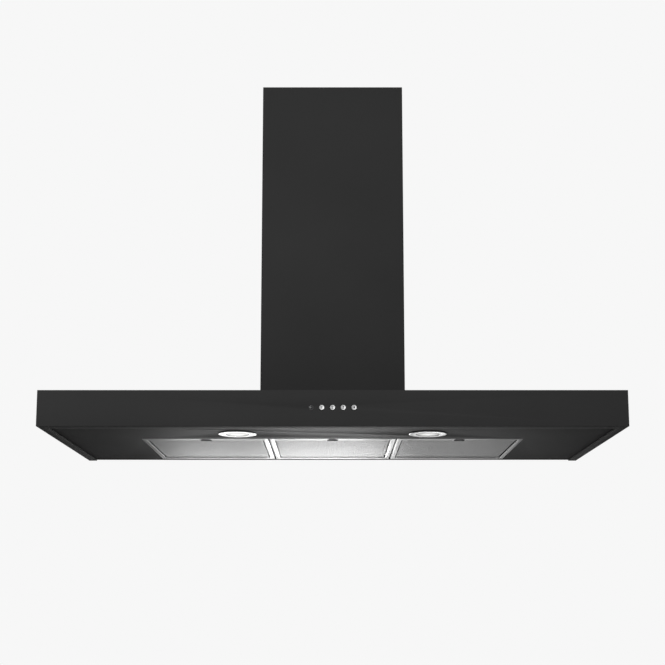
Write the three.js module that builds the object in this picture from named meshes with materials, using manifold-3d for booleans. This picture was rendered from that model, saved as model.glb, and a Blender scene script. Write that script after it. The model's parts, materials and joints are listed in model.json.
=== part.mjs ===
// A wall-mounted chimney range hood, built as separate pieces, in millimetres with +Z up.
// The wall is the plane y = 0, the front faces -Y, and the origin is the middle of the canopy's
// rear wall. Inside this file heights count from the canopy's rim, and the finished group is
// lowered at the end so that the rear wall's middle lands on the origin.

import * as THREE from 'three';
import { mergeVertices } from 'three/addons/utils/BufferGeometryUtils.js';
import Module from 'manifold-3d';

const wasm = await Module();
wasm.setup();

// ---------------------------------------------------------------- driving dimensions

// Sheet metal and fits
const SHEET = 1;
const BEND_RADIUS = 2;
const CLEARANCE = 0.3;
const PAST = 2;               // how far a cutting solid runs past the face that it cuts

// Canopy and underside panel
const CANOPY_WIDTH = 1100;
const CANOPY_DEPTH = 500;
const CANOPY_HEIGHT = 68;
const SIDE_RIM = 17;
const FRONT_RIM = 30;
const REAR_RISE = 2;          // the rear wall stops this far above the rim
const PAN_RECESS = 3;         // the underside panel lies this far above the rim's underside
const PAN_EDGE_HEIGHT = 15;
const REAR_LEDGE = 6.7;       // strip of panel behind the filters

// Keyholes and the plates behind them
const KEYHOLE_SPACING = 800;
const KEYHOLE_HEIGHT = 42;
const KEYHOLE_HEAD = 12;
const KEYHOLE_SLOT = 6.5;
const KEYHOLE_RISE = 10;
const HANGING_PLATE_MARGIN = 14;
const HANGING_PLATE_THICKNESS = 2;

// Grease filters
const FILTER_COUNT = 3;
const FILTER_WIDTH = 253;
const FILTER_THICKNESS = 9;
const FILTER_JOINT = 3;       // between two filters
const FILTER_EDGE_GAP = 1;    // between a filter and the edge of its opening
const FILTER_TO_LAMP = 34;    // panel between the filter opening and the lamp bezels
const FILTER_SIDE_BORDER = 9.5;
const FILTER_END_BORDER = 21;
const FILTER_SKIN = 1;
const TONGUE_SPACING = 160;
const TONGUE_WIDTH = 20;
const TONGUE_REACH = 5;
const TONGUE_THICKNESS = 1;

// Filter latches
const LATCH_WIDTH = 24;
const LATCH_SETBACK = 3;      // from the filter's front face to the recess
const LATCH_DEPTH = 28;
const LATCH_TRAVEL = 6;
const LATCH_LIP = 1;
const LATCH_GRIP_WALL = 4;    // slider material around the finger recess
const LATCH_BOLT_WIDTH = 16;
const LATCH_BOLT_THICKNESS = 2;

// Lamps
const LAMP_SPACING = 370;
const LAMP_SETBACK = 110;     // lamp centre behind the canopy's front face
const BEZEL_DIAMETER = 74;
const BEZEL_THICKNESS = 2.2;
const BEZEL_BEVEL = 0.8;
const LAMP_NECK_DIAMETER = 62;
const LAMP_NECK_HEIGHT = 6;
const LENS_DIAMETER = 56;
const LENS_THICKNESS = 3;
const LENS_LIP = 5.4;         // how much of the lens the bezel covers, all round
const LAMP_HOUSING_HEIGHT = 26;
const LAMP_HOUSING_WALL = 1.5;
const LAMP_BOARD_THICKNESS = 1.6;

// Controls in the front face
const CONTROL_HEIGHT = 35;
const BUTTON_PITCH = 20;
const BUTTON_COUNT = 4;
const BUTTON_DIAMETER = 10.2;
const BUTTON_PLAY = 0.3;      // radial gap around a button
const BUTTON_PROUD = 0.8;
const BUTTON_FLANGE = 1.5;
const BUTTON_STEM_DIAMETER = 5;
const BUTTON_TRAVEL = 1.5;
const INDICATOR_DIAMETER = 8.5;
const CONTROL_END = 12;       // housing beyond the outermost button centres
const CONTROL_HOUSING_RISE = 19; // housing above the button centres
const CONTROL_HOUSING_DEPTH = 28;
const CONTROL_WALL = 2;
const BOARD_SETBACK = 20;
const BOARD_THICKNESS = 1.6;
const SWITCH_SIZE = 6;
const SWITCH_DEPTH = 4;

// Electrics box on the underside panel
const ELECTRICS_GAP = 15;     // from the filter opening
const ELECTRICS_SETBACK = 200;
const ELECTRICS_WIDTH = 80;
const ELECTRICS_LENGTH = 150;
const ELECTRICS_HEIGHT = 38;
const ELECTRICS_WALL = 1.5;
const DRIVER_SIZE = { width: 34, length: 80, height: 22 };
const TERMINAL_SIZE = { width: 46, length: 18, height: 16 };
const TERMINAL_SCREW_DIAMETER = 4;
const TERMINAL_WAYS = 4;

// Chimney
const CHIMNEY_WIDTH = 300;
const CHIMNEY_DEPTH = 250;
const CHIMNEY_HEIGHT = 712;
const CHIMNEY_REAR_FLANGE = 16;
const CHIMNEY_FIT = 0.5;      // between the two telescoping sections
const UPPER_HEIGHT = 680;
const CLIP_HEIGHT = 20;
const CLIP_LENGTH = 40;
const CLIP_THICKNESS = 1.5;
const CLIP_SETBACK = 110;     // clip's near end in front of the wall
const WALL_BRACKET_HEIGHT = 25;
const WALL_BRACKET_THICKNESS = 1.6;
const WALL_BRACKET_TAB = 20;
const WALL_BRACKET_DROP = 6;  // below the upper section's top edge

// Blower box
const SEAL_THICKNESS = 3;
const BLOWER_SIDE_GAP = 25;
const BLOWER_FRONT_GAP = 15;
const BLOWER_BACK_GAP = 15;
const BLOWER_BOX_HEIGHT = 330;
const BLOWER_FLANGE = 10;
const BLOWER_AXIS_HEIGHT = 150;

// Fan scroll, impeller and motor, about the impeller's axis
const IMPELLER_RADIUS = 68;
const IMPELLER_LENGTH = 104;
const IMPELLER_DISC = 2;
const IMPELLER_RING_WIDTH = 3;
const BLADE_COUNT = 20;
const BLADE_DEPTH = 12;
const BLADE_THICKNESS = 1.2;
const BLADE_LEAN = THREE.MathUtils.degToRad(9);
const HUB_RADIUS = 11;
const HUB_LENGTH = 16;
const SHAFT_RADIUS = 4;
const SCROLL_WALL = 2;
const SCROLL_SIDE_GAP = 11;   // between the impeller and the scroll's side walls
const SCROLL_CUTOFF_GAP = 6;
const SCROLL_GROWTH = 30;
const SCROLL_START = THREE.MathUtils.degToRad(60);
const SCROLL_END = THREE.MathUtils.degToRad(-180);
const SCROLL_STEPS = 30;
const SCROLL_STRAIGHT = 55;   // height of the outer wall's upright part
const NECK_SIZE = 130;
const NECK_STRAIGHT = 70;     // height of the neck's upright rear wall
const NECK_LIP = 10;          // height of the neck's upright front wall
const INLET_RADIUS = 60;
const MOTOR_RADIUS = 42;
const MOTOR_LENGTH = 66;
const MOTOR_TO_DISC = 21;
const MOTOR_BOSS_RADIUS = 14;
const MOTOR_BOSS_LENGTH = 6;
const BRACKET_BAND_LENGTH = 14;
const BRACKET_BAND_WALL = 2.5;
const BRACKET_ARM_WIDTH = 14;
const BRACKET_ARM_THICKNESS = 1.5;
const BRACKET_ARM_COUNT = 3;
const MOUNT_RADIUS = 5.5;
const MOUNT_LENGTH = 5;
const MOUNT_CIRCLE = 66.5;
const CAPACITOR_RADIUS = 15;
const CAPACITOR_LENGTH = 60;
const CAPACITOR_SETBACK = 70; // behind the impeller's axis
const CAPACITOR_HEIGHT = 36;  // above the blower box's base

// Outlet collar and back-draught flaps
const DUCT_DIAMETER = 150;
const COLLAR_WALL = 2;
const COLLAR_HEIGHT = 60;
const COLLAR_FLANGE_WIDTH = 10;
const COLLAR_FLANGE_THICKNESS = 2;
const DAMPER_HEIGHT = 26;
const DAMPER_PIN_RADIUS = 2;
const DAMPER_KNUCKLE_RADIUS = 4;
const DAMPER_THICKNESS = 1.5;
const DAMPER_EDGE_GAP = 1.5;
const DAMPER_KNUCKLE_LENGTH = 14;
const DAMPER_KNUCKLE_PITCH = 32;
const GLAND_RADIUS = 8;
const GLAND_BORE_RADIUS = 5;
const GLAND_NUT_RADIUS = 12;
const GLAND_NUT_HEIGHT = 9;
const GLAND_DOME_HEIGHT = 4.5;
const GLAND_THREAD_BELOW = 4.5; // threaded stem below the sheet
const GLAND_INSET = 25;       // gland centre from the blower box's corner, both ways

// Wiring
const CABLE_RADIUS = 2.5;
const CABLE_BEND = 22;
const CABLE_LEAD = 22;        // straight stretch out of a board, lamp or box
const CABLE_DROP = 38;        // sideways reach of a run that comes down to the panel
const CABLE_ENTRY_PITCH = 16; // between cable entries in the electrics box
const CABLE_ENTRY_INSET = 14;
const CABLE_ENTRY_BELOW_TOP = 10;
const CABLE_SIDESTEP = 47;    // how far in front of its lamp the left lamp's cable runs
const CABLE_CLIMB = 30;       // rise of the blower cable from its box to the roof
const CABLE_ROOF_GAP = 2;     // extra room where a bend swings towards the roof
const CABLE_RISER_LEAD = 20;

// Facets
const ROUND_STEPS = 32;
const SMALL_ROUND_STEPS = 16;
const BEND_STEPS = 3;
const CABLE_SIDES = 6;
const CABLE_STEP = 22;
const MERGE_DISTANCE = 1e-4;

// ---------------------------------------------------------------- finishes

function finish(color, roughness, metalness) {
  return new THREE.MeshStandardMaterial({ color, roughness, metalness });
}

const blackSteel = finish(0x303030, 0.6, 0.1);
const galvanised = finish(0x9a9da0, 0.45, 0.8);
const aluminium = finish(0xc9cbcc, 0.4, 0.9);
const meshAluminium = finish(0xa8aaab, 0.5, 0.8);
const chrome = finish(0xe4e6e8, 0.15, 1);
const blackPlastic = finish(0x1c1c1c, 0.6, 0);
const whitePlastic = finish(0xe8e8e4, 0.5, 0);
const frosted = finish(0xf6f4ea, 0.4, 0);
const smoked = finish(0x3a3a3a, 0.25, 0);
const boardGreen = finish(0x2f5d3a, 0.5, 0);
const foam = finish(0x2a2a2a, 0.95, 0);
const rubber = finish(0x181818, 0.9, 0);
const motorIron = finish(0x8c8f92, 0.5, 0.6);

// ---------------------------------------------------------------- solids

function toSolid(geometry) {
  geometry.deleteAttribute('normal');
  geometry.deleteAttribute('uv');
  const merged = mergeVertices(geometry, MERGE_DISTANCE);
  const corners = merged.index.array;
  const triVerts = [];
  for (let i = 0; i < corners.length; i += 3) {
    const [a, b, c] = [corners[i], corners[i + 1], corners[i + 2]];
    if (a !== b && b !== c && c !== a) triVerts.push(a, b, c);
  }
  return new wasm.Manifold(new wasm.Mesh({
    numProp: 3,
    vertProperties: merged.attributes.position.array,
    triVerts: Uint32Array.from(triVerts),
  }));
}

function toGeometry(solid) {
  const mesh = solid.getMesh();
  const geometry = new THREE.BufferGeometry();
  geometry.setAttribute('position', new THREE.BufferAttribute(mesh.vertProperties, 3));
  geometry.setIndex(new THREE.BufferAttribute(mesh.triVerts, 1));
  geometry.computeVertexNormals();
  return geometry;
}

// A box between two values on each axis.
function block([x0, x1], [y0, y1], [z0, z1]) {
  const geometry = new THREE.BoxGeometry(x1 - x0, y1 - y0, z1 - z0);
  geometry.translate((x0 + x1) / 2, (y0 + y1) / 2, (z0 + z1) / 2);
  return toSolid(geometry);
}

// A span of the given size about a middle.
function span(size, middle = 0) {
  return [middle - size / 2, middle + size / 2];
}

const TO_X = new THREE.Matrix4().set(0, 0, 1, 0, 1, 0, 0, 0, 0, 1, 0, 0, 0, 0, 0, 1);
const TO_Z = new THREE.Matrix4();

// An outline drawn in (y, z) and extruded along X, or drawn in (x, y) and extruded along Z.
function prism(shape, [low, high], direction) {
  const options = { depth: high - low, bevelEnabled: false, curveSegments: BEND_STEPS };
  const geometry = new THREE.ExtrudeGeometry(shape, options);
  geometry.translate(0, 0, low);
  geometry.applyMatrix4(direction);
  return toSolid(geometry);
}

// A round bar along an axis through (a, b), the other two coordinates in X, Y, Z order.
function bar(axis, radius, [low, high], [a, b] = [0, 0], steps = SMALL_ROUND_STEPS) {
  const geometry = new THREE.CylinderGeometry(radius, radius, high - low, steps);
  const middle = (low + high) / 2;
  if (axis === 'x') {
    geometry.rotateZ(-Math.PI / 2);
    geometry.translate(middle, a, b);
  } else if (axis === 'y') {
    geometry.translate(a, middle, b);
  } else {
    geometry.rotateX(Math.PI / 2);
    geometry.translate(a, b, middle);
  }
  return toSolid(geometry);
}

// A closed profile of [radius, height] points, anticlockwise, turned about Z.
function turned(profile, steps = ROUND_STEPS) {
  const points = [...profile, profile[0]].map(([r, z]) => new THREE.Vector2(r, z));
  const geometry = new THREE.LatheGeometry(points, steps);
  geometry.rotateX(Math.PI / 2);
  return toSolid(geometry);
}

function join(first, ...rest) {
  return rest.reduce((sum, solid) => sum.add(solid), first);
}

function cut(first, ...rest) {
  return rest.reduce((sum, solid) => sum.subtract(solid), first);
}

function piece(name, solid, material) {
  const mesh = new THREE.Mesh(toGeometry(solid), material);
  mesh.name = name;
  return mesh;
}

function assembly(...members) {
  const group = new THREE.Group();
  group.add(...members.flat());
  return group;
}

// ---------------------------------------------------------------- shared places

const canopySides = span(CANOPY_WIDTH);
const canopyInside = span(CANOPY_WIDTH - 2 * SHEET);
const canopyTop = CANOPY_HEIGHT;
const canopyFront = -CANOPY_DEPTH;
const roofUnderside = CANOPY_HEIGHT - SHEET;
const panUnderside = PAN_RECESS;
const panTop = PAN_RECESS + SHEET;
const keyholeX = [-KEYHOLE_SPACING / 2, KEYHOLE_SPACING / 2];
const lampX = [-LAMP_SPACING / 2, LAMP_SPACING / 2];
const lampY = canopyFront + LAMP_SETBACK;

const filterSetWidth = FILTER_COUNT * FILTER_WIDTH + (FILTER_COUNT - 1) * FILTER_JOINT;
const openingWidth = filterSetWidth + 2 * FILTER_EDGE_GAP;
const openingRear = -(SHEET + CLEARANCE + REAR_LEDGE);
const openingFront = lampY + BEZEL_DIAMETER / 2 + FILTER_TO_LAMP;
const filterFront = openingFront + FILTER_EDGE_GAP;
const filterDepth = openingRear - FILTER_EDGE_GAP - filterFront;

const blowerHalf = CHIMNEY_WIDTH / 2 - BLOWER_SIDE_GAP;
const blowerFront = -CHIMNEY_DEPTH + BLOWER_FRONT_GAP;
const blowerBack = -BLOWER_BACK_GAP;
const blowerBase = canopyTop + 2 * CLEARANCE + SEAL_THICKNESS;
const blowerTop = blowerBase + BLOWER_BOX_HEIGHT;
const axisY = (blowerFront + blowerBack) / 2;
const axisZ = blowerBase + BLOWER_AXIS_HEIGHT;
const airway = {
  x: [-blowerHalf + SHEET, blowerHalf - SHEET],
  y: [blowerFront + SHEET, blowerBack - SHEET],
};
const flange = {
  x: [-blowerHalf - BLOWER_FLANGE, blowerHalf + BLOWER_FLANGE],
  y: [blowerFront - BLOWER_FLANGE, blowerBack + BLOWER_FLANGE],
};

const buttonRow = BUTTON_COUNT * BUTTON_PITCH;
const indicatorX = -buttonRow / 2;
const buttonX = Array.from({ length: BUTTON_COUNT }, (_, i) => indicatorX + (i + 1) * BUTTON_PITCH);
const buttonHole = BUTTON_DIAMETER / 2 + BUTTON_PLAY;
const indicatorHole = INDICATOR_DIAMETER / 2 + BUTTON_PLAY;

// ---------------------------------------------------------------- canopy

function keyhole(x, y) {
  const head = bar('y', KEYHOLE_HEAD / 2, y, [x, KEYHOLE_HEIGHT]);
  const slot = block(span(KEYHOLE_SLOT, x), y, [KEYHOLE_HEIGHT, KEYHOLE_HEIGHT + KEYHOLE_RISE]);
  return join(head, slot);
}

function controlHoles(y) {
  return [
    ...buttonX.map((x) => bar('y', buttonHole, y, [x, CONTROL_HEIGHT])),
    bar('y', indicatorHole, y, [indicatorX, CONTROL_HEIGHT]),
  ];
}

function canopyShell() {
  const inner = [canopyFront + SHEET, -SHEET];
  const hemTop = panUnderside - CLEARANCE;
  const innerSide = CANOPY_WIDTH / 2 - SIDE_RIM;
  const rimRear = [canopyFront, 0];
  let shell = cut(
    block(canopySides, rimRear, [0, canopyTop]),
    block(canopyInside, inner, [-PAST, roofUnderside]),
  );
  const rim = cut(
    block(canopySides, rimRear, [0, SHEET]),
    block([-innerSide, innerSide], [canopyFront + FRONT_RIM, PAST], [-PAST, SHEET + PAST]),
  );
  const hem = cut(
    block([-innerSide - SHEET, innerSide + SHEET], [canopyFront + FRONT_RIM - SHEET, 0], [0, hemTop]),
    block([-innerSide, innerSide], [canopyFront + FRONT_RIM, PAST], [-PAST, hemTop + PAST]),
  );
  shell = join(shell, rim, hem);
  const rearGap = block([-innerSide, innerSide], [-SHEET - CLEARANCE, PAST], [-PAST, REAR_RISE]);
  return piece('canopy_shell', cut(
    shell,
    rearGap,
    block(airway.x, airway.y, [roofUnderside - PAST, canopyTop + PAST]),
    ...keyholeX.map((x) => keyhole(x, [-SHEET - PAST, PAST])),
    ...controlHoles([canopyFront - PAST, canopyFront + SHEET + PAST]),
  ), blackSteel);
}

function hangingPlates() {
  const front = -SHEET - CLEARANCE - HANGING_PLATE_THICKNESS;
  return keyholeX.map((x, i) => {
    const plate = block(
      span(KEYHOLE_HEAD + 2 * HANGING_PLATE_MARGIN, x),
      [front, front + HANGING_PLATE_THICKNESS],
      [KEYHOLE_HEIGHT - HANGING_PLATE_MARGIN, KEYHOLE_HEIGHT + KEYHOLE_RISE + HANGING_PLATE_MARGIN / 2],
    );
    const name = `hanging_plate_${['left', 'right'][i]}`;
    return piece(name, cut(plate, keyhole(x, [front - PAST, 0])), galvanised);
  });
}

function undersidePanel() {
  const inset = SHEET + CLEARANCE;
  const x = span(CANOPY_WIDTH - 2 * inset);
  const y = [canopyFront + inset, -inset];
  const edged = cut(
    block(x, y, [panUnderside, panUnderside + PAN_EDGE_HEIGHT]),
    block(
      [x[0] + SHEET, x[1] - SHEET],
      [y[0] + SHEET, y[1] - SHEET],
      [panTop, panUnderside + PAN_EDGE_HEIGHT + PAST],
    ),
  );
  const through = [panUnderside - PAST, panTop + PAST];
  const neckHole = LAMP_NECK_DIAMETER / 2 + CLEARANCE;
  return piece('underside_panel', cut(
    edged,
    block(span(openingWidth), [openingFront, openingRear], through),
    ...lampX.map((lx) => bar('z', neckHole, through, [lx, lampY], ROUND_STEPS)),
  ), blackSteel);
}

// ---------------------------------------------------------------- filters

// Drawn with x = 0 in the middle, y = 0 at the front face and z = 0 at the underside.
const filterSkinTop = FILTER_THICKNESS - FILTER_SKIN;
const latchWell = {
  x: span(LATCH_WIDTH + 2 * FILTER_SKIN),
  y: [0, LATCH_SETBACK + LATCH_DEPTH + FILTER_SKIN],
};
const sliderLength = LATCH_SETBACK + LATCH_DEPTH - FILTER_SKIN - LATCH_TRAVEL - 3 * CLEARANCE;
const boltBottom = FILTER_SKIN + 2 * CLEARANCE;

function filterFrame(name) {
  const x = span(FILTER_WIDTH);
  const y = [0, filterDepth];
  const window = [
    [x[0] + FILTER_SIDE_BORDER, x[1] - FILTER_SIDE_BORDER],
    [FILTER_END_BORDER, filterDepth - FILTER_END_BORDER],
  ];
  const channel = [
    [x[0] + FILTER_SKIN, x[1] - FILTER_SKIN],
    [FILTER_SKIN, filterDepth - FILTER_SKIN],
  ];
  const ring = cut(
    block(x, y, [0, FILTER_THICKNESS]),
    block(...window, [-PAST, FILTER_THICKNESS + PAST]),
    block(...channel, [FILTER_SKIN, filterSkinTop]),
  );
  const well = block(latchWell.x, latchWell.y, [0, FILTER_THICKNESS]);
  const tongueBottom = SHEET + CLEARANCE;
  const tongues = [-1, 1].map((side) => block(
    span(TONGUE_WIDTH, side * TONGUE_SPACING / 2),
    [filterDepth - FILTER_SKIN / 2, filterDepth + TONGUE_REACH],
    [tongueBottom, tongueBottom + TONGUE_THICKNESS],
  ));
  const wellEnd = LATCH_SETBACK + LATCH_DEPTH;
  return piece(name, cut(
    join(ring, well, ...tongues),
    block(span(LATCH_WIDTH), [FILTER_SKIN, wellEnd], [FILTER_SKIN, filterSkinTop]),
    block(span(LATCH_WIDTH - 2 * LATCH_LIP), [LATCH_SETBACK, wellEnd], [-PAST, FILTER_SKIN + PAST]),
    block(
      span(LATCH_BOLT_WIDTH + 2 * CLEARANCE),
      [-PAST, FILTER_SKIN + PAST],
      [boltBottom - CLEARANCE, boltBottom + LATCH_BOLT_THICKNESS + CLEARANCE],
    ),
  ), aluminium);
}

function filterMesh(name) {
  const inset = FILTER_SKIN + CLEARANCE;
  const pad = block(
    span(FILTER_WIDTH - 2 * inset),
    [inset, filterDepth - inset],
    [inset, FILTER_THICKNESS - inset],
  );
  const notch = block(
    [latchWell.x[0] - CLEARANCE, latchWell.x[1] + CLEARANCE],
    [-PAST, latchWell.y[1] + CLEARANCE],
    [0, FILTER_THICKNESS],
  );
  return piece(name, cut(pad, notch), meshAluminium);
}

function filterLatch(name) {
  const front = FILTER_SKIN + CLEARANCE;
  const low = FILTER_SKIN + CLEARANCE;
  const high = filterSkinTop - CLEARANCE;
  const slider = block(span(LATCH_WIDTH - 2 * CLEARANCE), [front, front + sliderLength], [low, high]);
  const bolt = block(
    span(LATCH_BOLT_WIDTH),
    [CLEARANCE - FILTER_EDGE_GAP, front + FILTER_SKIN],
    [boltBottom, boltBottom + LATCH_BOLT_THICKNESS],
  );
  const recess = block(
    span(LATCH_WIDTH - 2 * LATCH_GRIP_WALL),
    [front + LATCH_GRIP_WALL, front + sliderLength - LATCH_GRIP_WALL],
    [low - PAST, high - FILTER_SKIN],
  );
  return piece(name, cut(join(slider, bolt), recess), blackPlastic);
}

function filters() {
  const names = ['left', 'middle', 'right'];
  return names.map((side, i) => {
    const unit = assembly(
      filterFrame(`filter_frame_${side}`),
      filterMesh(`filter_mesh_${side}`),
      filterLatch(`filter_latch_${side}`),
    );
    const step = i - (FILTER_COUNT - 1) / 2;
    unit.position.set(step * (FILTER_WIDTH + FILTER_JOINT), filterFront, panUnderside);
    return unit;
  });
}

// ---------------------------------------------------------------- lamps

// Drawn about the lamp's axis, with z = 0 at the underside of the panel.
function lamp(side) {
  const low = -CLEARANCE - BEZEL_THICKNESS;
  const neck = LAMP_NECK_DIAMETER / 2;
  const lens = LENS_DIAMETER / 2;
  const seat = low + BEZEL_BEVEL;
  const rimRadius = BEZEL_DIAMETER / 2;
  const neckTop = SHEET + LAMP_NECK_HEIGHT;
  const bezel = turned([
    [lens - LENS_LIP, low],
    [rimRadius - BEZEL_BEVEL, low],
    [rimRadius, low + BEZEL_BEVEL],
    [rimRadius, -CLEARANCE],
    [neck, -CLEARANCE],
    [neck, neckTop],
    [lens + CLEARANCE, neckTop],
    [lens + CLEARANCE, seat],
    [lens - LENS_LIP, seat],
  ]);
  const lensBottom = seat + CLEARANCE;
  const housingBottom = neckTop + CLEARANCE;
  const housingTop = housingBottom + LAMP_HOUSING_HEIGHT;
  const roof = housingTop - LAMP_HOUSING_WALL;
  const housing = cut(
    bar('z', neck, [housingBottom, housingTop], [0, 0], ROUND_STEPS),
    bar('z', neck - LAMP_HOUSING_WALL, [housingBottom - PAST, roof], [0, 0], ROUND_STEPS),
  );
  const boardTop = roof - CLEARANCE;
  const boardRadius = neck - LAMP_HOUSING_WALL - CLEARANCE;
  const pane = bar('z', lens, [lensBottom, lensBottom + LENS_THICKNESS], [0, 0], ROUND_STEPS);
  const board = bar('z', boardRadius, [boardTop - LAMP_BOARD_THICKNESS, boardTop], [0, 0], ROUND_STEPS);
  return assembly(
    piece(`lamp_bezel_${side}`, bezel, chrome),
    piece(`lamp_lens_${side}`, pane, frosted),
    piece(`lamp_housing_${side}`, housing, galvanised),
    piece(`lamp_board_${side}`, board, boardGreen),
  );
}

function lamps() {
  return ['left', 'right'].map((side, i) => {
    const unit = lamp(side);
    unit.position.set(lampX[i], lampY, panUnderside);
    return unit;
  });
}

// ---------------------------------------------------------------- controls

const housingFront = canopyFront + SHEET + CLEARANCE;
const housingWallBack = housingFront + CONTROL_WALL;
const controlX = [indicatorX - CONTROL_END, buttonX[BUTTON_COUNT - 1] + CONTROL_END];
const controlZ = [panUnderside + PAN_EDGE_HEIGHT + CLEARANCE, CONTROL_HEIGHT + CONTROL_HOUSING_RISE];
const boardFront = housingFront + BOARD_SETBACK;
const boardBack = boardFront + BOARD_THICKNESS;
const switchFront = boardFront - SWITCH_DEPTH;

function controlHousing() {
  const back = housingFront + CONTROL_HOUSING_DEPTH;
  return piece('control_housing', cut(
    block(controlX, [housingFront, back], controlZ),
    block(
      [controlX[0] + CONTROL_WALL, controlX[1] - CONTROL_WALL],
      [housingWallBack, back + PAST],
      [controlZ[0] + CONTROL_WALL, controlZ[1] - CONTROL_WALL],
    ),
    ...controlHoles([housingFront - PAST, housingWallBack + PAST]),
  ), blackPlastic);
}

function controlBoard() {
  const edge = CONTROL_WALL + CLEARANCE;
  const board = block(
    [controlX[0] + edge, controlX[1] - edge],
    [boardFront, boardBack],
    [controlZ[0] + edge, controlZ[1] - edge],
  );
  const switches = buttonX.map((x) => block(
    span(SWITCH_SIZE, x),
    [switchFront, boardFront + BOARD_THICKNESS / 2],
    span(SWITCH_SIZE, CONTROL_HEIGHT),
  ));
  return piece('control_board', join(board, ...switches), boardGreen);
}

function button(index) {
  const at = [buttonX[index], CONTROL_HEIGHT];
  const flangeFront = housingWallBack + CLEARANCE;
  const flangeBack = flangeFront + BUTTON_FLANGE;
  return piece(`button_${index + 1}`, join(
    bar('y', BUTTON_DIAMETER / 2, [canopyFront - BUTTON_PROUD, flangeBack], at),
    bar('y', buttonHole + BUTTON_FLANGE, [flangeFront, flangeBack], at),
    bar('y', BUTTON_STEM_DIAMETER / 2, [flangeFront, switchFront - BUTTON_TRAVEL - CLEARANCE], at),
  ), aluminium);
}

function indicator() {
  const at = [indicatorX, CONTROL_HEIGHT];
  const flangeFront = housingWallBack + CLEARANCE;
  const flangeBack = flangeFront + BUTTON_FLANGE;
  return piece('indicator_lens', join(
    bar('y', INDICATOR_DIAMETER / 2, [canopyFront - BUTTON_PROUD / 2, flangeBack], at),
    bar('y', indicatorHole + BUTTON_FLANGE, [flangeFront, flangeBack], at),
    bar('y', BUTTON_STEM_DIAMETER / 2, [flangeFront, boardFront - CLEARANCE], at),
  ), smoked);
}

function controls() {
  return [controlHousing(), controlBoard(), indicator(), ...buttonX.map((_, i) => button(i))];
}

// ---------------------------------------------------------------- electrics box

const electricsX = [openingWidth / 2 + ELECTRICS_GAP, openingWidth / 2 + ELECTRICS_GAP + ELECTRICS_WIDTH];
const electricsY = [canopyFront + ELECTRICS_SETBACK, canopyFront + ELECTRICS_SETBACK + ELECTRICS_LENGTH];
const electricsZ = [panTop + CLEARANCE, panTop + CLEARANCE + ELECTRICS_HEIGHT];
const electricsMiddle = (electricsX[0] + electricsX[1]) / 2;

function electrics() {
  const floor = electricsZ[0] + ELECTRICS_WALL;
  const box = cut(
    block(electricsX, electricsY, electricsZ),
    block(
      [electricsX[0] + ELECTRICS_WALL, electricsX[1] - ELECTRICS_WALL],
      [electricsY[0] + ELECTRICS_WALL, electricsY[1] - ELECTRICS_WALL],
      [floor, electricsZ[1] + PAST],
    ),
  );
  const lidBottom = electricsZ[1] + CLEARANCE;
  const lid = block(electricsX, electricsY, [lidBottom, lidBottom + ELECTRICS_WALL]);
  const seat = floor + CLEARANCE;
  const driverFront = electricsY[0] + ELECTRICS_WALL + CLEARANCE;
  const driver = block(
    span(DRIVER_SIZE.width, electricsMiddle),
    [driverFront, driverFront + DRIVER_SIZE.length],
    [seat, seat + DRIVER_SIZE.height],
  );
  const terminalBack = electricsY[1] - ELECTRICS_WALL - CLEARANCE;
  const terminalTop = seat + TERMINAL_SIZE.height;
  const terminal = block(
    span(TERMINAL_SIZE.width, electricsMiddle),
    [terminalBack - TERMINAL_SIZE.length, terminalBack],
    [seat, terminalTop],
  );
  const wayPitch = TERMINAL_SIZE.width / TERMINAL_WAYS;
  const screwHoles = Array.from({ length: TERMINAL_WAYS }, (_, i) => {
    const x = electricsMiddle + (i - (TERMINAL_WAYS - 1) / 2) * wayPitch;
    const y = terminalBack - TERMINAL_SIZE.length / 2;
    return bar('z', TERMINAL_SCREW_DIAMETER / 2, [terminalTop - PAST, terminalTop + PAST], [x, y]);
  });
  return [
    piece('electrics_box', box, blackPlastic),
    piece('electrics_lid', lid, blackPlastic),
    piece('lamp_driver', driver, whitePlastic),
    piece('terminal_block', cut(terminal, ...screwHoles), whitePlastic),
  ];
}

// ---------------------------------------------------------------- chimney

// A three-sided cover open to the wall, with a flange turned in along each rear edge.
function coverOutline(half, front, back) {
  const inner = half - SHEET;
  const innerRadius = BEND_RADIUS - SHEET;
  const lip = half - CHIMNEY_REAR_FLANGE;
  const shape = new THREE.Shape();
  shape.moveTo(lip, back);
  shape.lineTo(lip, back - SHEET);
  shape.lineTo(inner, back - SHEET);
  shape.lineTo(inner, front + BEND_RADIUS);
  shape.absarc(inner - innerRadius, front + BEND_RADIUS, innerRadius, 0, -Math.PI / 2, true);
  shape.absarc(-inner + innerRadius, front + BEND_RADIUS, innerRadius, -Math.PI / 2, -Math.PI, true);
  shape.lineTo(-inner, back - SHEET);
  shape.lineTo(-lip, back - SHEET);
  shape.lineTo(-lip, back);
  shape.lineTo(-half, back);
  shape.lineTo(-half, front + BEND_RADIUS);
  shape.absarc(-half + BEND_RADIUS, front + BEND_RADIUS, BEND_RADIUS, Math.PI, 1.5 * Math.PI, false);
  shape.absarc(half - BEND_RADIUS, front + BEND_RADIUS, BEND_RADIUS, 1.5 * Math.PI, 2 * Math.PI, false);
  shape.lineTo(half, back);
  return shape;
}

const chimneyBase = canopyTop + CLEARANCE;
const upperHalf = CHIMNEY_WIDTH / 2 - SHEET - CHIMNEY_FIT;
const upperFront = -CHIMNEY_DEPTH + SHEET + CHIMNEY_FIT;
const upperBack = -SHEET - CHIMNEY_FIT;
const upperBase = chimneyBase + CLIP_HEIGHT + CLEARANCE;
const upperTop = upperBase + UPPER_HEIGHT;

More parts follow.
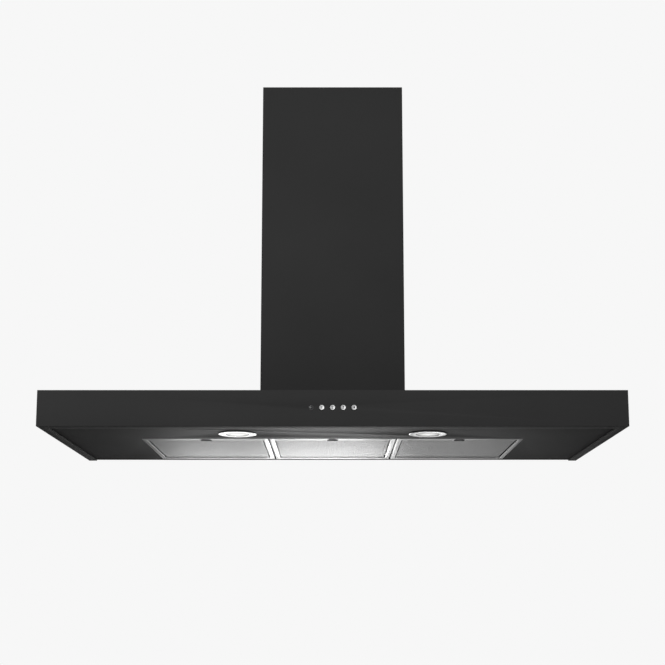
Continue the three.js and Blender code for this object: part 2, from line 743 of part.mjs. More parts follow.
function chimneyClips() {
  const outer = CHIMNEY_WIDTH / 2 - SHEET - CLEARANCE;
  const footEnd = flange.x[1] + CLEARANCE;
  const y = [-CLIP_SETBACK - CLIP_LENGTH, -CLIP_SETBACK];
  return ['left', 'right'].map((side, i) => {
    const facing = [-1, 1][i];
    const across = (a, b) => [facing * a, facing * b].sort((p, q) => p - q);
    return piece(`chimney_clip_${side}`, join(
      block(across(footEnd, outer), y, [chimneyBase, chimneyBase + CLIP_THICKNESS]),
      block(across(outer - CLIP_THICKNESS, outer), y, [chimneyBase, chimneyBase + CLIP_HEIGHT]),
    ), galvanised);
  });
}

function chimney() {
  const lower = prism(
    coverOutline(CHIMNEY_WIDTH / 2, -CHIMNEY_DEPTH, 0),
    [chimneyBase, chimneyBase + CHIMNEY_HEIGHT],
    TO_Z,
  );
  const upper = prism(coverOutline(upperHalf, upperFront, upperBack), [upperBase, upperTop], TO_Z);
  const barHalf = upperHalf - SHEET - CLEARANCE;
  const barBack = upperBack - SHEET - CLEARANCE;
  const bracketTop = upperTop - WALL_BRACKET_DROP;
  const bracketZ = [bracketTop - WALL_BRACKET_HEIGHT, bracketTop];
  const bracket = cut(
    block([-barHalf, barHalf], [barBack - WALL_BRACKET_TAB, barBack], bracketZ),
    block(
      [-barHalf + WALL_BRACKET_THICKNESS, barHalf - WALL_BRACKET_THICKNESS],
      [barBack - WALL_BRACKET_TAB - PAST, barBack - WALL_BRACKET_THICKNESS],
      [bracketZ[0] - PAST, bracketZ[1] + PAST],
    ),
  );
  return [
    piece('chimney_lower', lower, blackSteel),
    piece('chimney_upper', upper, blackSteel),
    piece('chimney_wall_bracket', bracket, galvanised),
    ...chimneyClips(),
  ];
}

// ---------------------------------------------------------------- blower box

function blowerBox() {
  const outside = { x: [-blowerHalf, blowerHalf], y: [blowerFront, blowerBack] };
  const shell = join(
    block(outside.x, outside.y, [blowerBase, blowerTop]),
    block(flange.x, flange.y, [blowerBase, blowerBase + SHEET]),
  );
  const topHole = [blowerTop - SHEET - PAST, blowerTop + PAST];
  return piece('blower_box', cut(
    shell,
    block(airway.x, airway.y, [blowerBase - PAST, blowerTop - SHEET]),
    bar('z', DUCT_DIAMETER / 2 - COLLAR_WALL, topHole, [0, axisY], ROUND_STEPS),
    bar('z', GLAND_RADIUS + CLEARANCE, topHole, glandPlace),
  ), galvanised);
}

function blowerSeal() {
  const z = [canopyTop + CLEARANCE, canopyTop + CLEARANCE + SEAL_THICKNESS];
  return piece('blower_seal', cut(
    block(flange.x, flange.y, z),
    block(airway.x, airway.y, [z[0] - PAST, z[1] + PAST]),
  ), foam);
}

const glandPlace = [blowerHalf - GLAND_INSET, blowerBack - GLAND_INSET];

function cableGland() {
  const seat = CLEARANCE;
  const stemEnd = -SHEET - 2 * CLEARANCE - GLAND_THREAD_BELOW;
  const nutTop = seat + GLAND_NUT_HEIGHT;
  const domeTop = nutTop + GLAND_DOME_HEIGHT;
  const body = turned([
    [GLAND_BORE_RADIUS, stemEnd],
    [GLAND_RADIUS, stemEnd],
    [GLAND_RADIUS, seat],
    [GLAND_NUT_RADIUS, seat],
    [GLAND_NUT_RADIUS, nutTop],
    [GLAND_RADIUS, domeTop],
    [GLAND_BORE_RADIUS, domeTop],
  ], SMALL_ROUND_STEPS);
  const gland = piece('cable_gland', body, blackPlastic);
  gland.position.set(...glandPlace, blowerTop);
  return gland;
}

function capacitor() {
  const x = blowerHalf - SHEET - CLEARANCE - CAPACITOR_RADIUS;
  const low = blowerBase + CAPACITOR_HEIGHT;
  const can = bar('z', CAPACITOR_RADIUS, [low, low + CAPACITOR_LENGTH], [x, axisY + CAPACITOR_SETBACK]);
  return piece('capacitor', can, whitePlastic);
}

// ---------------------------------------------------------------- fan

// Drawn about the impeller's axis, which lies along X through (y, z) = (0, 0).
const scrollInnerHalf = IMPELLER_LENGTH / 2 + SCROLL_SIDE_GAP;
const scrollOuterHalf = scrollInnerHalf + SCROLL_WALL;
const neckTop = blowerTop - SHEET - CLEARANCE - axisZ;
const motorRight = -MOTOR_TO_DISC;
const motorLeft = motorRight - MOTOR_LENGTH;

// The scroll's outline in (y, z), moved inwards by `inset`, with its neck raised by `raise`.
function scrollOutline(inset, raise) {
  const points = [];
  const cutoff = IMPELLER_RADIUS + SCROLL_CUTOFF_GAP + SCROLL_WALL;
  for (let i = 0; i <= SCROLL_STEPS; i += 1) {
    const t = i / SCROLL_STEPS;
    const angle = THREE.MathUtils.lerp(SCROLL_START, SCROLL_END, t);
    const radius = cutoff + SCROLL_GROWTH * t - inset;
    points.push(new THREE.Vector2(radius * Math.cos(angle), radius * Math.sin(angle)));
  }
  const outer = cutoff + SCROLL_GROWTH - inset;
  const neck = NECK_SIZE / 2 - inset;
  points.push(new THREE.Vector2(-outer, SCROLL_STRAIGHT));
  points.push(new THREE.Vector2(-neck, neckTop - NECK_LIP));
  points.push(new THREE.Vector2(-neck, neckTop + raise));
  points.push(new THREE.Vector2(neck, neckTop + raise));
  points.push(new THREE.Vector2(neck, neckTop - NECK_STRAIGHT));
  return new THREE.Shape(points);
}

function scrollHalf(side) {
  const facing = side === 'left' ? -1 : 1;
  const across = (a, b) => [facing * a, facing * b].sort((p, q) => p - q);
  const outside = prism(scrollOutline(0, 0), across(CLEARANCE / 2, scrollOuterHalf), TO_X);
  const inside = prism(scrollOutline(SCROLL_WALL, PAST), across(-PAST, scrollInnerHalf), TO_X);
  const inletSpan = across(scrollInnerHalf - PAST, scrollOuterHalf + PAST);
  const inlet = bar('x', INLET_RADIUS, inletSpan, [0, 0], ROUND_STEPS);
  return piece(`scroll_${side}`, cut(outside, inside, inlet), blackPlastic);
}

// One blade's section in (y, z): a thin quadrilateral that leans forward from root to tip.
function bladeOutline(angle) {
  const corner = (radius, turn, side) => {
    const a = angle + turn + side * BLADE_THICKNESS / 2 / radius;
    return new THREE.Vector2(radius * Math.cos(a), radius * Math.sin(a));
  };
  const root = IMPELLER_RADIUS - BLADE_DEPTH;
  const tip = IMPELLER_RADIUS - BLADE_THICKNESS;
  return new THREE.Shape([
    corner(root, 0, -1),
    corner(tip, BLADE_LEAN, -1),
    corner(tip, BLADE_LEAN, 1),
    corner(root, 0, 1),
  ]);
}

function impeller() {
  const half = IMPELLER_LENGTH / 2;
  const inner = IMPELLER_RADIUS - BLADE_DEPTH;
  const ring = (low, high) => cut(
    bar('x', IMPELLER_RADIUS, [low, high], [0, 0], ROUND_STEPS),
    bar('x', inner, [low - PAST, high + PAST], [0, 0], ROUND_STEPS),
  );
  const blades = Array.from({ length: BLADE_COUNT }, (_, i) => {
    const outline = bladeOutline((i / BLADE_COUNT) * 2 * Math.PI);
    return prism(outline, [-half + IMPELLER_RING_WIDTH / 2, half - IMPELLER_RING_WIDTH / 2], TO_X);
  });
  const wheel = join(
    bar('x', IMPELLER_RADIUS, span(IMPELLER_DISC), [0, 0], ROUND_STEPS),
    ring(-half, -half + IMPELLER_RING_WIDTH),
    ring(half - IMPELLER_RING_WIDTH, half),
    bar('x', HUB_RADIUS, [-IMPELLER_DISC / 2, HUB_LENGTH]),
    ...blades,
  );
  return piece('impeller', cut(
    wheel,
    bar('x', SHAFT_RADIUS + CLEARANCE, [-IMPELLER_DISC - PAST, HUB_LENGTH + PAST]),
  ), blackPlastic);
}

function motor() {
  const body = join(
    bar('x', MOTOR_RADIUS, [motorLeft, motorRight], [0, 0], ROUND_STEPS),
    bar('x', MOTOR_BOSS_RADIUS, [motorLeft - MOTOR_BOSS_LENGTH, motorRight + MOTOR_BOSS_LENGTH]),
  );
  const bore = bar('x', SHAFT_RADIUS + CLEARANCE, [motorLeft, motorRight + MOTOR_BOSS_LENGTH + PAST]);
  const shaft = bar('x', SHAFT_RADIUS, [motorLeft + CLEARANCE, HUB_LENGTH]);
  return [
    piece('motor_body', cut(body, bore), motorIron),
    piece('motor_shaft', shaft, chrome),
  ];
}

const mountsRight = -scrollOuterHalf - CLEARANCE;
const mountsLeft = mountsRight - MOUNT_LENGTH;
const armsRight = mountsLeft - CLEARANCE;
const armsLeft = armsRight - BRACKET_ARM_THICKNESS;
const armAngles = Array.from(
  { length: BRACKET_ARM_COUNT },
  (_, i) => Math.PI / 2 + (i / BRACKET_ARM_COUNT) * 2 * Math.PI,
);

function motorBracket() {
  const bandInner = MOTOR_RADIUS + CLEARANCE;
  const bandOuter = bandInner + BRACKET_BAND_WALL;
  const band = [armsRight - BRACKET_BAND_LENGTH, armsRight];
  const reach = MOUNT_CIRCLE + MOUNT_RADIUS + BRACKET_ARM_THICKNESS;
  const arms = armAngles.map((angle) => {
    const arm = new THREE.BoxGeometry(BRACKET_ARM_THICKNESS, reach - bandInner, BRACKET_ARM_WIDTH);
    arm.translate((armsLeft + armsRight) / 2, (bandInner + reach) / 2, 0);
    arm.rotateX(angle);
    return toSolid(arm);
  });
  return piece('motor_bracket', cut(
    join(bar('x', bandOuter, band, [0, 0], ROUND_STEPS), ...arms),
    bar('x', bandInner, [band[0] - PAST, band[1] + PAST], [0, 0], ROUND_STEPS),
  ), galvanised);
}

function motorMounts() {
  return armAngles.map((angle, i) => {
    const at = [MOUNT_CIRCLE * Math.cos(angle), MOUNT_CIRCLE * Math.sin(angle)];
    return piece(`motor_mount_${i + 1}`, bar('x', MOUNT_RADIUS, [mountsLeft, mountsRight], at), rubber);
  });
}

function fan() {
  const unit = assembly(
    scrollHalf('left'),
    scrollHalf('right'),
    impeller(),
    motor(),
    motorBracket(),
    motorMounts(),
  );
  unit.position.set(0, axisY, axisZ);
  return unit;
}

// ---------------------------------------------------------------- outlet collar

// Drawn about the duct's axis, with z = 0 on top of the blower box.
const ductBore = DUCT_DIAMETER / 2 - COLLAR_WALL;
const pinHalf = ductBore + COLLAR_WALL / 2;

function outletCollar() {
  const outer = DUCT_DIAMETER / 2;
  const low = CLEARANCE;
  const tube = turned([
    [ductBore, low],
    [outer + COLLAR_FLANGE_WIDTH, low],
    [outer + COLLAR_FLANGE_WIDTH, low + COLLAR_FLANGE_THICKNESS],
    [outer, low + COLLAR_FLANGE_THICKNESS],
    [outer, low + COLLAR_HEIGHT],
    [ductBore, low + COLLAR_HEIGHT],
  ]);
  const pinSpan = span(2 * pinHalf + 2 * CLEARANCE);
  const pinHole = bar('x', DAMPER_PIN_RADIUS + CLEARANCE, pinSpan, [0, DAMPER_HEIGHT]);
  return piece('outlet_collar', cut(tube, pinHole), blackPlastic);
}

function damperPin() {
  return piece('damper_pin', bar('x', DAMPER_PIN_RADIUS, span(2 * pinHalf), [0, DAMPER_HEIGHT]), galvanised);
}

// One half disc with three knuckles on the pin; `facing` is -1 for the front flap, 1 for the rear.
function damperFlap(name, facing) {
  const radius = ductBore - DAMPER_EDGE_GAP;
  const start = DAMPER_KNUCKLE_RADIUS + CLEARANCE;
  const disc = bar('z', radius, span(DAMPER_THICKNESS, DAMPER_HEIGHT), [0, 0], ROUND_STEPS);
  const keep = facing < 0 ? [-radius - PAST, -start] : [start, radius + PAST];
  const plate = disc.intersect(block(span(2 * radius + PAST), keep, [0, 2 * DAMPER_HEIGHT]));
  const knuckles = [-1, 0, 1].map((i) => {
    const middle = i * DAMPER_KNUCKLE_PITCH + facing * DAMPER_KNUCKLE_PITCH / 4;
    const x = span(DAMPER_KNUCKLE_LENGTH, middle);
    const tab = [0, facing * (start + DAMPER_THICKNESS)].sort((p, q) => p - q);
    return join(
      bar('x', DAMPER_KNUCKLE_RADIUS, x, [0, DAMPER_HEIGHT]),
      block(x, tab, span(DAMPER_THICKNESS, DAMPER_HEIGHT)),
    );
  });
  const bore = bar('x', DAMPER_PIN_RADIUS + CLEARANCE, span(2 * radius), [0, DAMPER_HEIGHT]);
  return piece(name, cut(join(plate, ...knuckles), bore), whitePlastic);
}

function outlet() {
  const unit = assembly(
    outletCollar(),
    damperPin(),
    damperFlap('damper_flap_front', -1),
    damperFlap('damper_flap_rear', 1),
  );
  unit.position.set(0, axisY, blowerTop);
  return unit;
}

// ---------------------------------------------------------------- wiring

// Straight runs between the points, with a smooth bend at each one.
function cableRoute(points) {
  const stops = points.map((p) => new THREE.Vector3(...p));
  const route = new THREE.CurvePath();
  let from = stops[0];
  for (let i = 1; i < stops.length - 1; i += 1) {
    const toLast = stops[i - 1].clone().sub(stops[i]);
    const toNext = stops[i + 1].clone().sub(stops[i]);
    const reach = Math.min(CABLE_BEND, toLast.length() / 2, toNext.length() / 2);
    const enter = stops[i].clone().addScaledVector(toLast.normalize(), reach);
    const leave = stops[i].clone().addScaledVector(toNext.normalize(), reach);
    if (from.distanceTo(enter) > MERGE_DISTANCE) route.add(new THREE.LineCurve3(from, enter));
    route.add(new THREE.QuadraticBezierCurve3(enter, stops[i], leave));
    from = leave;
  }
  route.add(new THREE.LineCurve3(from, stops[stops.length - 1]));
  return route;
}

function cable(name, points) {
  const section = new THREE.Shape(Array.from({ length: CABLE_SIDES }, (_, i) => {
    const angle = (i / CABLE_SIDES) * 2 * Math.PI;
    return new THREE.Vector2(CABLE_RADIUS * Math.cos(angle), CABLE_RADIUS * Math.sin(angle));
  }));
  const route = cableRoute(points);
  const geometry = new THREE.ExtrudeGeometry(section, {
    steps: Math.round(route.getLength() / CABLE_STEP),
    bevelEnabled: false,
    extrudePath: route,
  });
  return piece(name, toSolid(geometry), blackPlastic);
}

function wiring() {
  const onPan = panTop + CLEARANCE + CABLE_RADIUS;
  const underRoof = roofUnderside - CLEARANCE - CABLE_RADIUS - CABLE_ROOF_GAP;
  const boxFront = electricsY[0] - CLEARANCE;
  const boxBack = electricsY[1] + CLEARANCE;
  const boxX = [0, 1, 2].map((i) => electricsX[0] + CABLE_ENTRY_INSET + i * CABLE_ENTRY_PITCH);
  const boxExit = electricsZ[1] - CABLE_ENTRY_BELOW_TOP;
  const boardX = buttonX[BUTTON_COUNT - 1];
  const boardLead = boardBack + CABLE_LEAD;
  const lampSide = LAMP_NECK_DIAMETER / 2 + CLEARANCE;
  const lampWire = panTop + LAMP_NECK_HEIGHT + LAMP_HOUSING_HEIGHT / 2;
  const lampRun = (i) => {
    const start = lampX[i] + lampSide;
    return [start, start + CABLE_LEAD, start + CABLE_LEAD + CABLE_DROP];
  };
  const [leftStart, leftLead, leftDown] = lampRun(0);
  const [rightStart, rightLead, rightDown] = lampRun(1);
  const besideLamp = lampY - CABLE_SIDESTEP;
  const railY = airway.y[1] - CABLE_LEAD;
  const riserX = blowerHalf - SHEET - CLEARANCE - CAPACITOR_RADIUS;
  const riserY = axisY + CAPACITOR_SETBACK;
  return [
    cable('control_cable', [
      [boardX, boardBack + CLEARANCE, CONTROL_HEIGHT],
      [boardX, boardLead, CONTROL_HEIGHT],
      [boardX + CABLE_LEAD + CABLE_DROP, boardLead, onPan],
      [boxX[2], boardLead, onPan],
      [boxX[2], boxFront, onPan],
    ]),
    cable('lamp_cable_left', [
      [leftStart, lampY, lampWire],
      [leftLead, lampY, lampWire],
      [leftDown, besideLamp, onPan],
      [boxX[1], besideLamp, onPan],
      [boxX[1], boxFront, onPan],
    ]),
    cable('lamp_cable_right', [
      [rightStart, lampY, lampWire],
      [rightLead, lampY, lampWire],
      [rightDown, lampY, onPan],
      [boxX[0], lampY, onPan],
      [boxX[0], boxFront, onPan],
    ]),
    cable('blower_cable', [
      [boxX[0], boxBack, boxExit],
      [boxX[0], boxBack + CABLE_LEAD, boxExit],
      [boxX[0], boxBack + CABLE_LEAD + CABLE_CLIMB, underRoof],
      [boxX[0], railY, underRoof],
      [riserX, railY, underRoof],
      [riserX, riserY, underRoof + CABLE_RISER_LEAD],
      [riserX, riserY, blowerBase + CAPACITOR_HEIGHT - CLEARANCE],
    ]),
  ];
}

// ---------------------------------------------------------------- whole hood

const group = assembly(
  canopyShell(),
  undersidePanel(),
  hangingPlates(),
  filters(),
  lamps(),
  controls(),
  electrics(),
  chimney(),
  blowerBox(),
  blowerSeal(),
  capacitor(),
  cableGland(),
  fan(),
  outlet(),
  wiring(),
);
group.position.z = -(REAR_RISE + CANOPY_HEIGHT) / 2;

export default group;
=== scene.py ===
"""A wall-mounted chimney range hood: its looks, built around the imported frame, in metres.

The wall is the plane y = 0 and the front faces -Y. The hood hangs in the air, as on its wall.
"""

import json
import math

import bpy
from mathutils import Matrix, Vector

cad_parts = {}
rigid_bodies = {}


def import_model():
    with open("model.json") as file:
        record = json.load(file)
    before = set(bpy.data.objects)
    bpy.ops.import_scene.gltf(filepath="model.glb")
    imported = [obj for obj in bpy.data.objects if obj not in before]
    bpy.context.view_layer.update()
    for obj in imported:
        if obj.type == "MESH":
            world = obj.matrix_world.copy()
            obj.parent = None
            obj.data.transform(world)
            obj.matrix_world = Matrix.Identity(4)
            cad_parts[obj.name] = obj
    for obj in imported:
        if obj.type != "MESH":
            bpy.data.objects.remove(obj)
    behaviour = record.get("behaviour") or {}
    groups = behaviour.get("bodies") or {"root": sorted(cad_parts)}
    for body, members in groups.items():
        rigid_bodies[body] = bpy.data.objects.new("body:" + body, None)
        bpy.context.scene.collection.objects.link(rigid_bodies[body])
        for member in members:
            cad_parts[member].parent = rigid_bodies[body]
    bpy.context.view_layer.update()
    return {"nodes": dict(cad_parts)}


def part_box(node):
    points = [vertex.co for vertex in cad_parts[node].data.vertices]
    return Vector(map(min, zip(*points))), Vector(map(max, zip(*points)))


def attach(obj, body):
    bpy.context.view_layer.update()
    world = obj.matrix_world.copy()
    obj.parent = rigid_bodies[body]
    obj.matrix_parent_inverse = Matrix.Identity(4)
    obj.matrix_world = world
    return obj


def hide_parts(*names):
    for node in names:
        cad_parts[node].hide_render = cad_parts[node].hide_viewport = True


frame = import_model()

MM = 0.001


# ---------------------------------------------------------------- camera

PHOTO_WIDTH = 665                     # pixels, the photograph's square frame
FOCAL_PIXELS = 1206.3
PITCH_DEGREES = 9.0
EYE = (0.0, -2.7076, -0.3848)
AXIS_PIXEL = (332.6, 426.19)          # where the camera's own axis meets the photograph


def add_camera():
    data = bpy.data.cameras.new("camera")
    data.sensor_width = 36
    data.lens = FOCAL_PIXELS * data.sensor_width / PHOTO_WIDTH
    data.shift_x = (PHOTO_WIDTH / 2 - AXIS_PIXEL[0]) / PHOTO_WIDTH
    data.shift_y = (AXIS_PIXEL[1] - PHOTO_WIDTH / 2) / PHOTO_WIDTH
    camera = bpy.data.objects.new("camera", data)
    camera.location = EYE
    camera.rotation_euler = (math.radians(90 + PITCH_DEGREES), 0, 0)
    bpy.context.scene.collection.objects.link(camera)
    bpy.context.scene.camera = camera


add_camera()


# ---------------------------------------------------------------- modelling by hand

FLAT_ANGLE = math.radians(0.5)        # faces that meet within this angle become one
ROUNDED_ANGLE = math.radians(30)      # edges sharper than this are rounded
COPY_DOUBLES = MM / 100               # a copied node's points closer than this become one
SEAM_DOUBLES = MM / 1000              # and those where a turned piece closes
TURN_AXES = {                         # along the axis, and out to the outline's own side
    "z": (Vector((0, 0, 1)), Vector((1, 0, 0))),
    "y": (Vector((0, 1, 0)), Vector((0, 0, 1))),
}


def select_only(piece):
    bpy.ops.object.select_all(action="DESELECT")
    piece.select_set(True)
    bpy.context.view_layer.objects.active = piece


def edit_faces(piece, test):
    """Edit mode with only the faces selected whose middle passes the test."""
    select_only(piece)
    bpy.ops.object.mode_set(mode="EDIT")
    bpy.ops.mesh.select_mode(type="FACE")
    bpy.ops.mesh.select_all(action="DESELECT")
    bpy.ops.object.mode_set(mode="OBJECT")
    for face in piece.data.polygons:
        face.select = test(face.center)
    bpy.ops.object.mode_set(mode="EDIT")


def edit_all(piece):
    select_only(piece)
    bpy.ops.object.mode_set(mode="EDIT")
    bpy.ops.mesh.select_all(action="SELECT")


def leave_edit():
    bpy.ops.object.mode_set(mode="OBJECT")


def settle(piece):
    """The piece's place, turn and scale go into its mesh."""
    select_only(piece)
    bpy.ops.object.transform_apply(location=True, rotation=True, scale=True)
    return piece


def outline_chain(points):
    """Edges from point to point, drawn from one vertex by extruding it; edit mode stays on."""
    bpy.ops.object.select_all(action="DESELECT")
    bpy.ops.mesh.primitive_plane_add(size=MM)
    piece = bpy.context.object
    bpy.ops.object.mode_set(mode="EDIT")
    bpy.ops.mesh.select_mode(type="VERT")
    bpy.ops.mesh.select_all(action="SELECT")
    bpy.ops.mesh.merge(type="CENTER")
    bpy.ops.transform.translate(value=points[0])
    for last, point in zip(points, points[1:]):
        step = Vector(point) - Vector(last)
        bpy.ops.mesh.extrude_vertices_move(TRANSFORM_OT_translate={"value": step})
    return piece


def turned(name, profile, place, axis="z", sides=96):
    """A closed outline of [radius, height] points, spun about an axis through a place."""
    along, out = TURN_AXES[axis]
    points = [place + out * radius + along * height for radius, height in profile]
    on_axis = profile[0][0] == 0 and profile[-1][0] == 0
    piece = outline_chain(points if on_axis else points + points[:1])
    bpy.ops.mesh.select_all(action="SELECT")
    bpy.ops.mesh.spin(steps=sides, angle=2 * math.pi, center=place, axis=along)
    bpy.ops.mesh.select_all(action="SELECT")
    bpy.ops.mesh.remove_doubles(threshold=SEAM_DOUBLES)
    bpy.ops.mesh.normals_make_consistent(inside=False)
    leave_edit()
    piece.name = name
    return settle(piece)


def apply_modifier(piece, modifier):
    select_only(piece)
    bpy.ops.object.modifier_apply(modifier=modifier.name)


def rounded(piece, width, segments):
    bevel = piece.modifiers.new("rounding", "BEVEL")
    bevel.width = width
    bevel.segments = segments
    bevel.limit_method = "ANGLE"
    bevel.angle_limit = ROUNDED_ANGLE
    apply_modifier(piece, bevel)


def smooth(piece, degrees):
    """Shades the piece smooth across edges blunter than the angle."""
    select_only(piece)
    bpy.ops.object.shade_smooth_by_angle(angle=math.radians(degrees))
    return piece


def arrayed(piece, count, step):
    array = piece.modifiers.new("row", "ARRAY")
    array.count = count
    array.use_relative_offset = False
    array.use_constant_offset = True
    array.constant_offset_displace = step
    apply_modifier(piece, array)
    return piece


def joined(name, pieces):
    bpy.ops.object.select_all(action="DESELECT")
    for piece in pieces:
        piece.select_set(True)
    bpy.context.view_layer.objects.active = pieces[0]
    bpy.ops.object.join()
    pieces[0].name = name
    return pieces[0]


def node_copy(node, fold=0.0, segments=2, smooth_degrees=35):
    """A frame node's own shape as a new piece, its edges rounded where a fold is given."""
    piece = bpy.data.objects.new(f"{node}_piece", frame["nodes"][node].data.copy())
    bpy.context.scene.collection.objects.link(piece)
    select_only(piece)
    bpy.ops.mesh.customdata_custom_splitnormals_clear()
    piece.data.materials.clear()
    edit_all(piece)
    bpy.ops.mesh.remove_doubles(threshold=COPY_DOUBLES)
    bpy.ops.mesh.dissolve_limited(angle_limit=FLAT_ANGLE)
    leave_edit()
    if fold:
        rounded(piece, fold, segments)
    return smooth(piece, smooth_degrees)


def off_axis(point, place, axis):
    """How far a point lies from the line along an axis through a place."""
    away = point - place
    away["xyz".index(axis)] = 0
    return away.length


# ---------------------------------------------------------------- shared surface effects

def shader_group(name, inputs, outputs):
    group = bpy.data.node_groups.new(name, "ShaderNodeTree")
    for socket, value in inputs.items():
        made = group.interface.new_socket(socket, in_out="INPUT", socket_type="NodeSocketFloat")
        made.default_value = value
    for socket, kind in outputs.items():
        group.interface.new_socket(socket, in_out="OUTPUT", socket_type=f"NodeSocket{kind}")
    return group, group.nodes.new("NodeGroupInput"), group.nodes.new("NodeGroupOutput")


def object_noise(group, detail, roughness=0.5):
    """Noise over the object's own coordinates; its Scale is left to be linked."""
    place = group.nodes.new("ShaderNodeTexCoord")
    noise = group.nodes.new("ShaderNodeTexNoise")
    noise.inputs["Detail"].default_value = detail
    noise.inputs["Roughness"].default_value = roughness
    group.links.new(place.outputs["Object"], noise.inputs["Vector"])
    return noise


GRAIN_TOPS = (0.52, 0.72)             # where in the noise a grain's top begins and ends


def grain_group():
    """Fine grit: a height for a bump, and a mask of the grains' tops."""
    group, given, made = shader_group(
        "fine_grain", {"Scale": 1500.0}, {"Height": "Float", "Mask": "Float"})
    noise = object_noise(group, detail=3, roughness=0.6)
    tops = group.nodes.new("ShaderNodeMapRange")
    tops.inputs["From Min"].default_value, tops.inputs["From Max"].default_value = GRAIN_TOPS
    group.links.new(given.outputs["Scale"], noise.inputs["Scale"])
    group.links.new(noise.outputs["Fac"], tops.inputs["Value"])
    group.links.new(noise.outputs["Fac"], made.inputs["Height"])
    group.links.new(tops.outputs["Result"], made.inputs["Mask"])
    return group


def cloud_group():
    """Broad, soft unevenness of a surface, as a mask about 0.5."""
    group, given, made = shader_group("soft_clouds", {"Scale": 6.0}, {"Mask": "Float"})
    noise = object_noise(group, detail=2)
    group.links.new(given.outputs["Scale"], noise.inputs["Scale"])
    group.links.new(noise.outputs["Fac"], made.inputs["Mask"])
    return group


def streak_group():
    """Rolling or brushing lines along one axis, by a noise squeezed on the others."""
    group, given, made = shader_group(
        "rolling_lines", {"Along X": 1.0, "Along Y": 1.0, "Along Z": 1.0}, {"Mask": "Float"})
    place = group.nodes.new("ShaderNodeTexCoord")
    squeeze = group.nodes.new("ShaderNodeMapping")
    scales = group.nodes.new("ShaderNodeCombineXYZ")
    noise = group.nodes.new("ShaderNodeTexNoise")
    noise.inputs["Scale"].default_value = 1.0
    noise.inputs["Detail"].default_value = 4
    for axis in "XYZ":
        group.links.new(given.outputs[f"Along {axis}"], scales.inputs[axis])
    group.links.new(place.outputs["Object"], squeeze.inputs["Vector"])
    group.links.new(scales.outputs["Vector"], squeeze.inputs["Scale"])
    group.links.new(squeeze.outputs["Vector"], noise.inputs["Vector"])
    group.links.new(noise.outputs["Fac"], made.inputs["Mask"])
    return group


def spangle_group():
    """The frosty crystal patches of hot-dip zinc, as a mask from patch to patch."""
    group, given, made = shader_group("zinc_spangle", {"Scale": 90.0}, {"Mask": "Float"})
    place = group.nodes.new("ShaderNodeTexCoord")
    cells = group.nodes.new("ShaderNodeTexVoronoi")
    level = group.nodes.new("ShaderNodeRGBToBW")
    group.links.new(place.outputs["Object"], cells.inputs["Vector"])
    group.links.new(given.outputs["Scale"], cells.inputs["Scale"])
    group.links.new(cells.outputs["Color"], level.inputs["Color"])
    group.links.new(level.outputs["Val"], made.inputs["Mask"])
    return group


def pool_group():
    """A round pool about a place and its mirror place across x = 0: 1 in the middle, 0 at the rim."""
    group, given, made = shader_group(
        "paired_pool", {"Place X": 0.185, "Place Y": -0.39, "Radius": 0.022}, {"Mask": "Float"})
    place = group.nodes.new("ShaderNodeTexCoord")
    split = group.nodes.new("ShaderNodeSeparateXYZ")
    folded = group.nodes.new("ShaderNodeMath")
    folded.operation = "ABSOLUTE"
    here = group.nodes.new("ShaderNodeCombineXYZ")
    middle = group.nodes.new("ShaderNodeCombineXYZ")
    apart = group.nodes.new("ShaderNodeVectorMath")
    apart.operation = "DISTANCE"
    fall = group.nodes.new("ShaderNodeMapRange")
    fall.interpolation_type = "SMOOTHSTEP"
    fall.inputs["To Min"].default_value = 1.0
    fall.inputs["To Max"].default_value = 0.0
    link = group.links.new
    link(place.outputs["Object"], split.inputs["Vector"])
    link(split.outputs["X"], folded.inputs[0])
    link(folded.outputs["Value"], here.inputs["X"])
    link(split.outputs["Y"], here.inputs["Y"])
    link(given.outputs["Place X"], middle.inputs["X"])
    link(given.outputs["Place Y"], middle.inputs["Y"])
    link(here.outputs["Vector"], apart.inputs[0])
    link(middle.outputs["Vector"], apart.inputs[1])
    link(apart.outputs["Value"], fall.inputs["Value"])
    link(given.outputs["Radius"], fall.inputs["From Max"])
    link(fall.outputs["Result"], made.inputs["Mask"])
    return group


GRAIN = grain_group()
CLOUDS = cloud_group()
STREAKS = streak_group()
SPANGLE = spangle_group()
POOL = pool_group()


# ---------------------------------------------------------------- finishes

MASK_RANGE = (0.3, 0.7)               # the part of a mask that a finish runs over
LENS_GLOW = 24 * MM                   # how far a lamp's light reaches across its glass


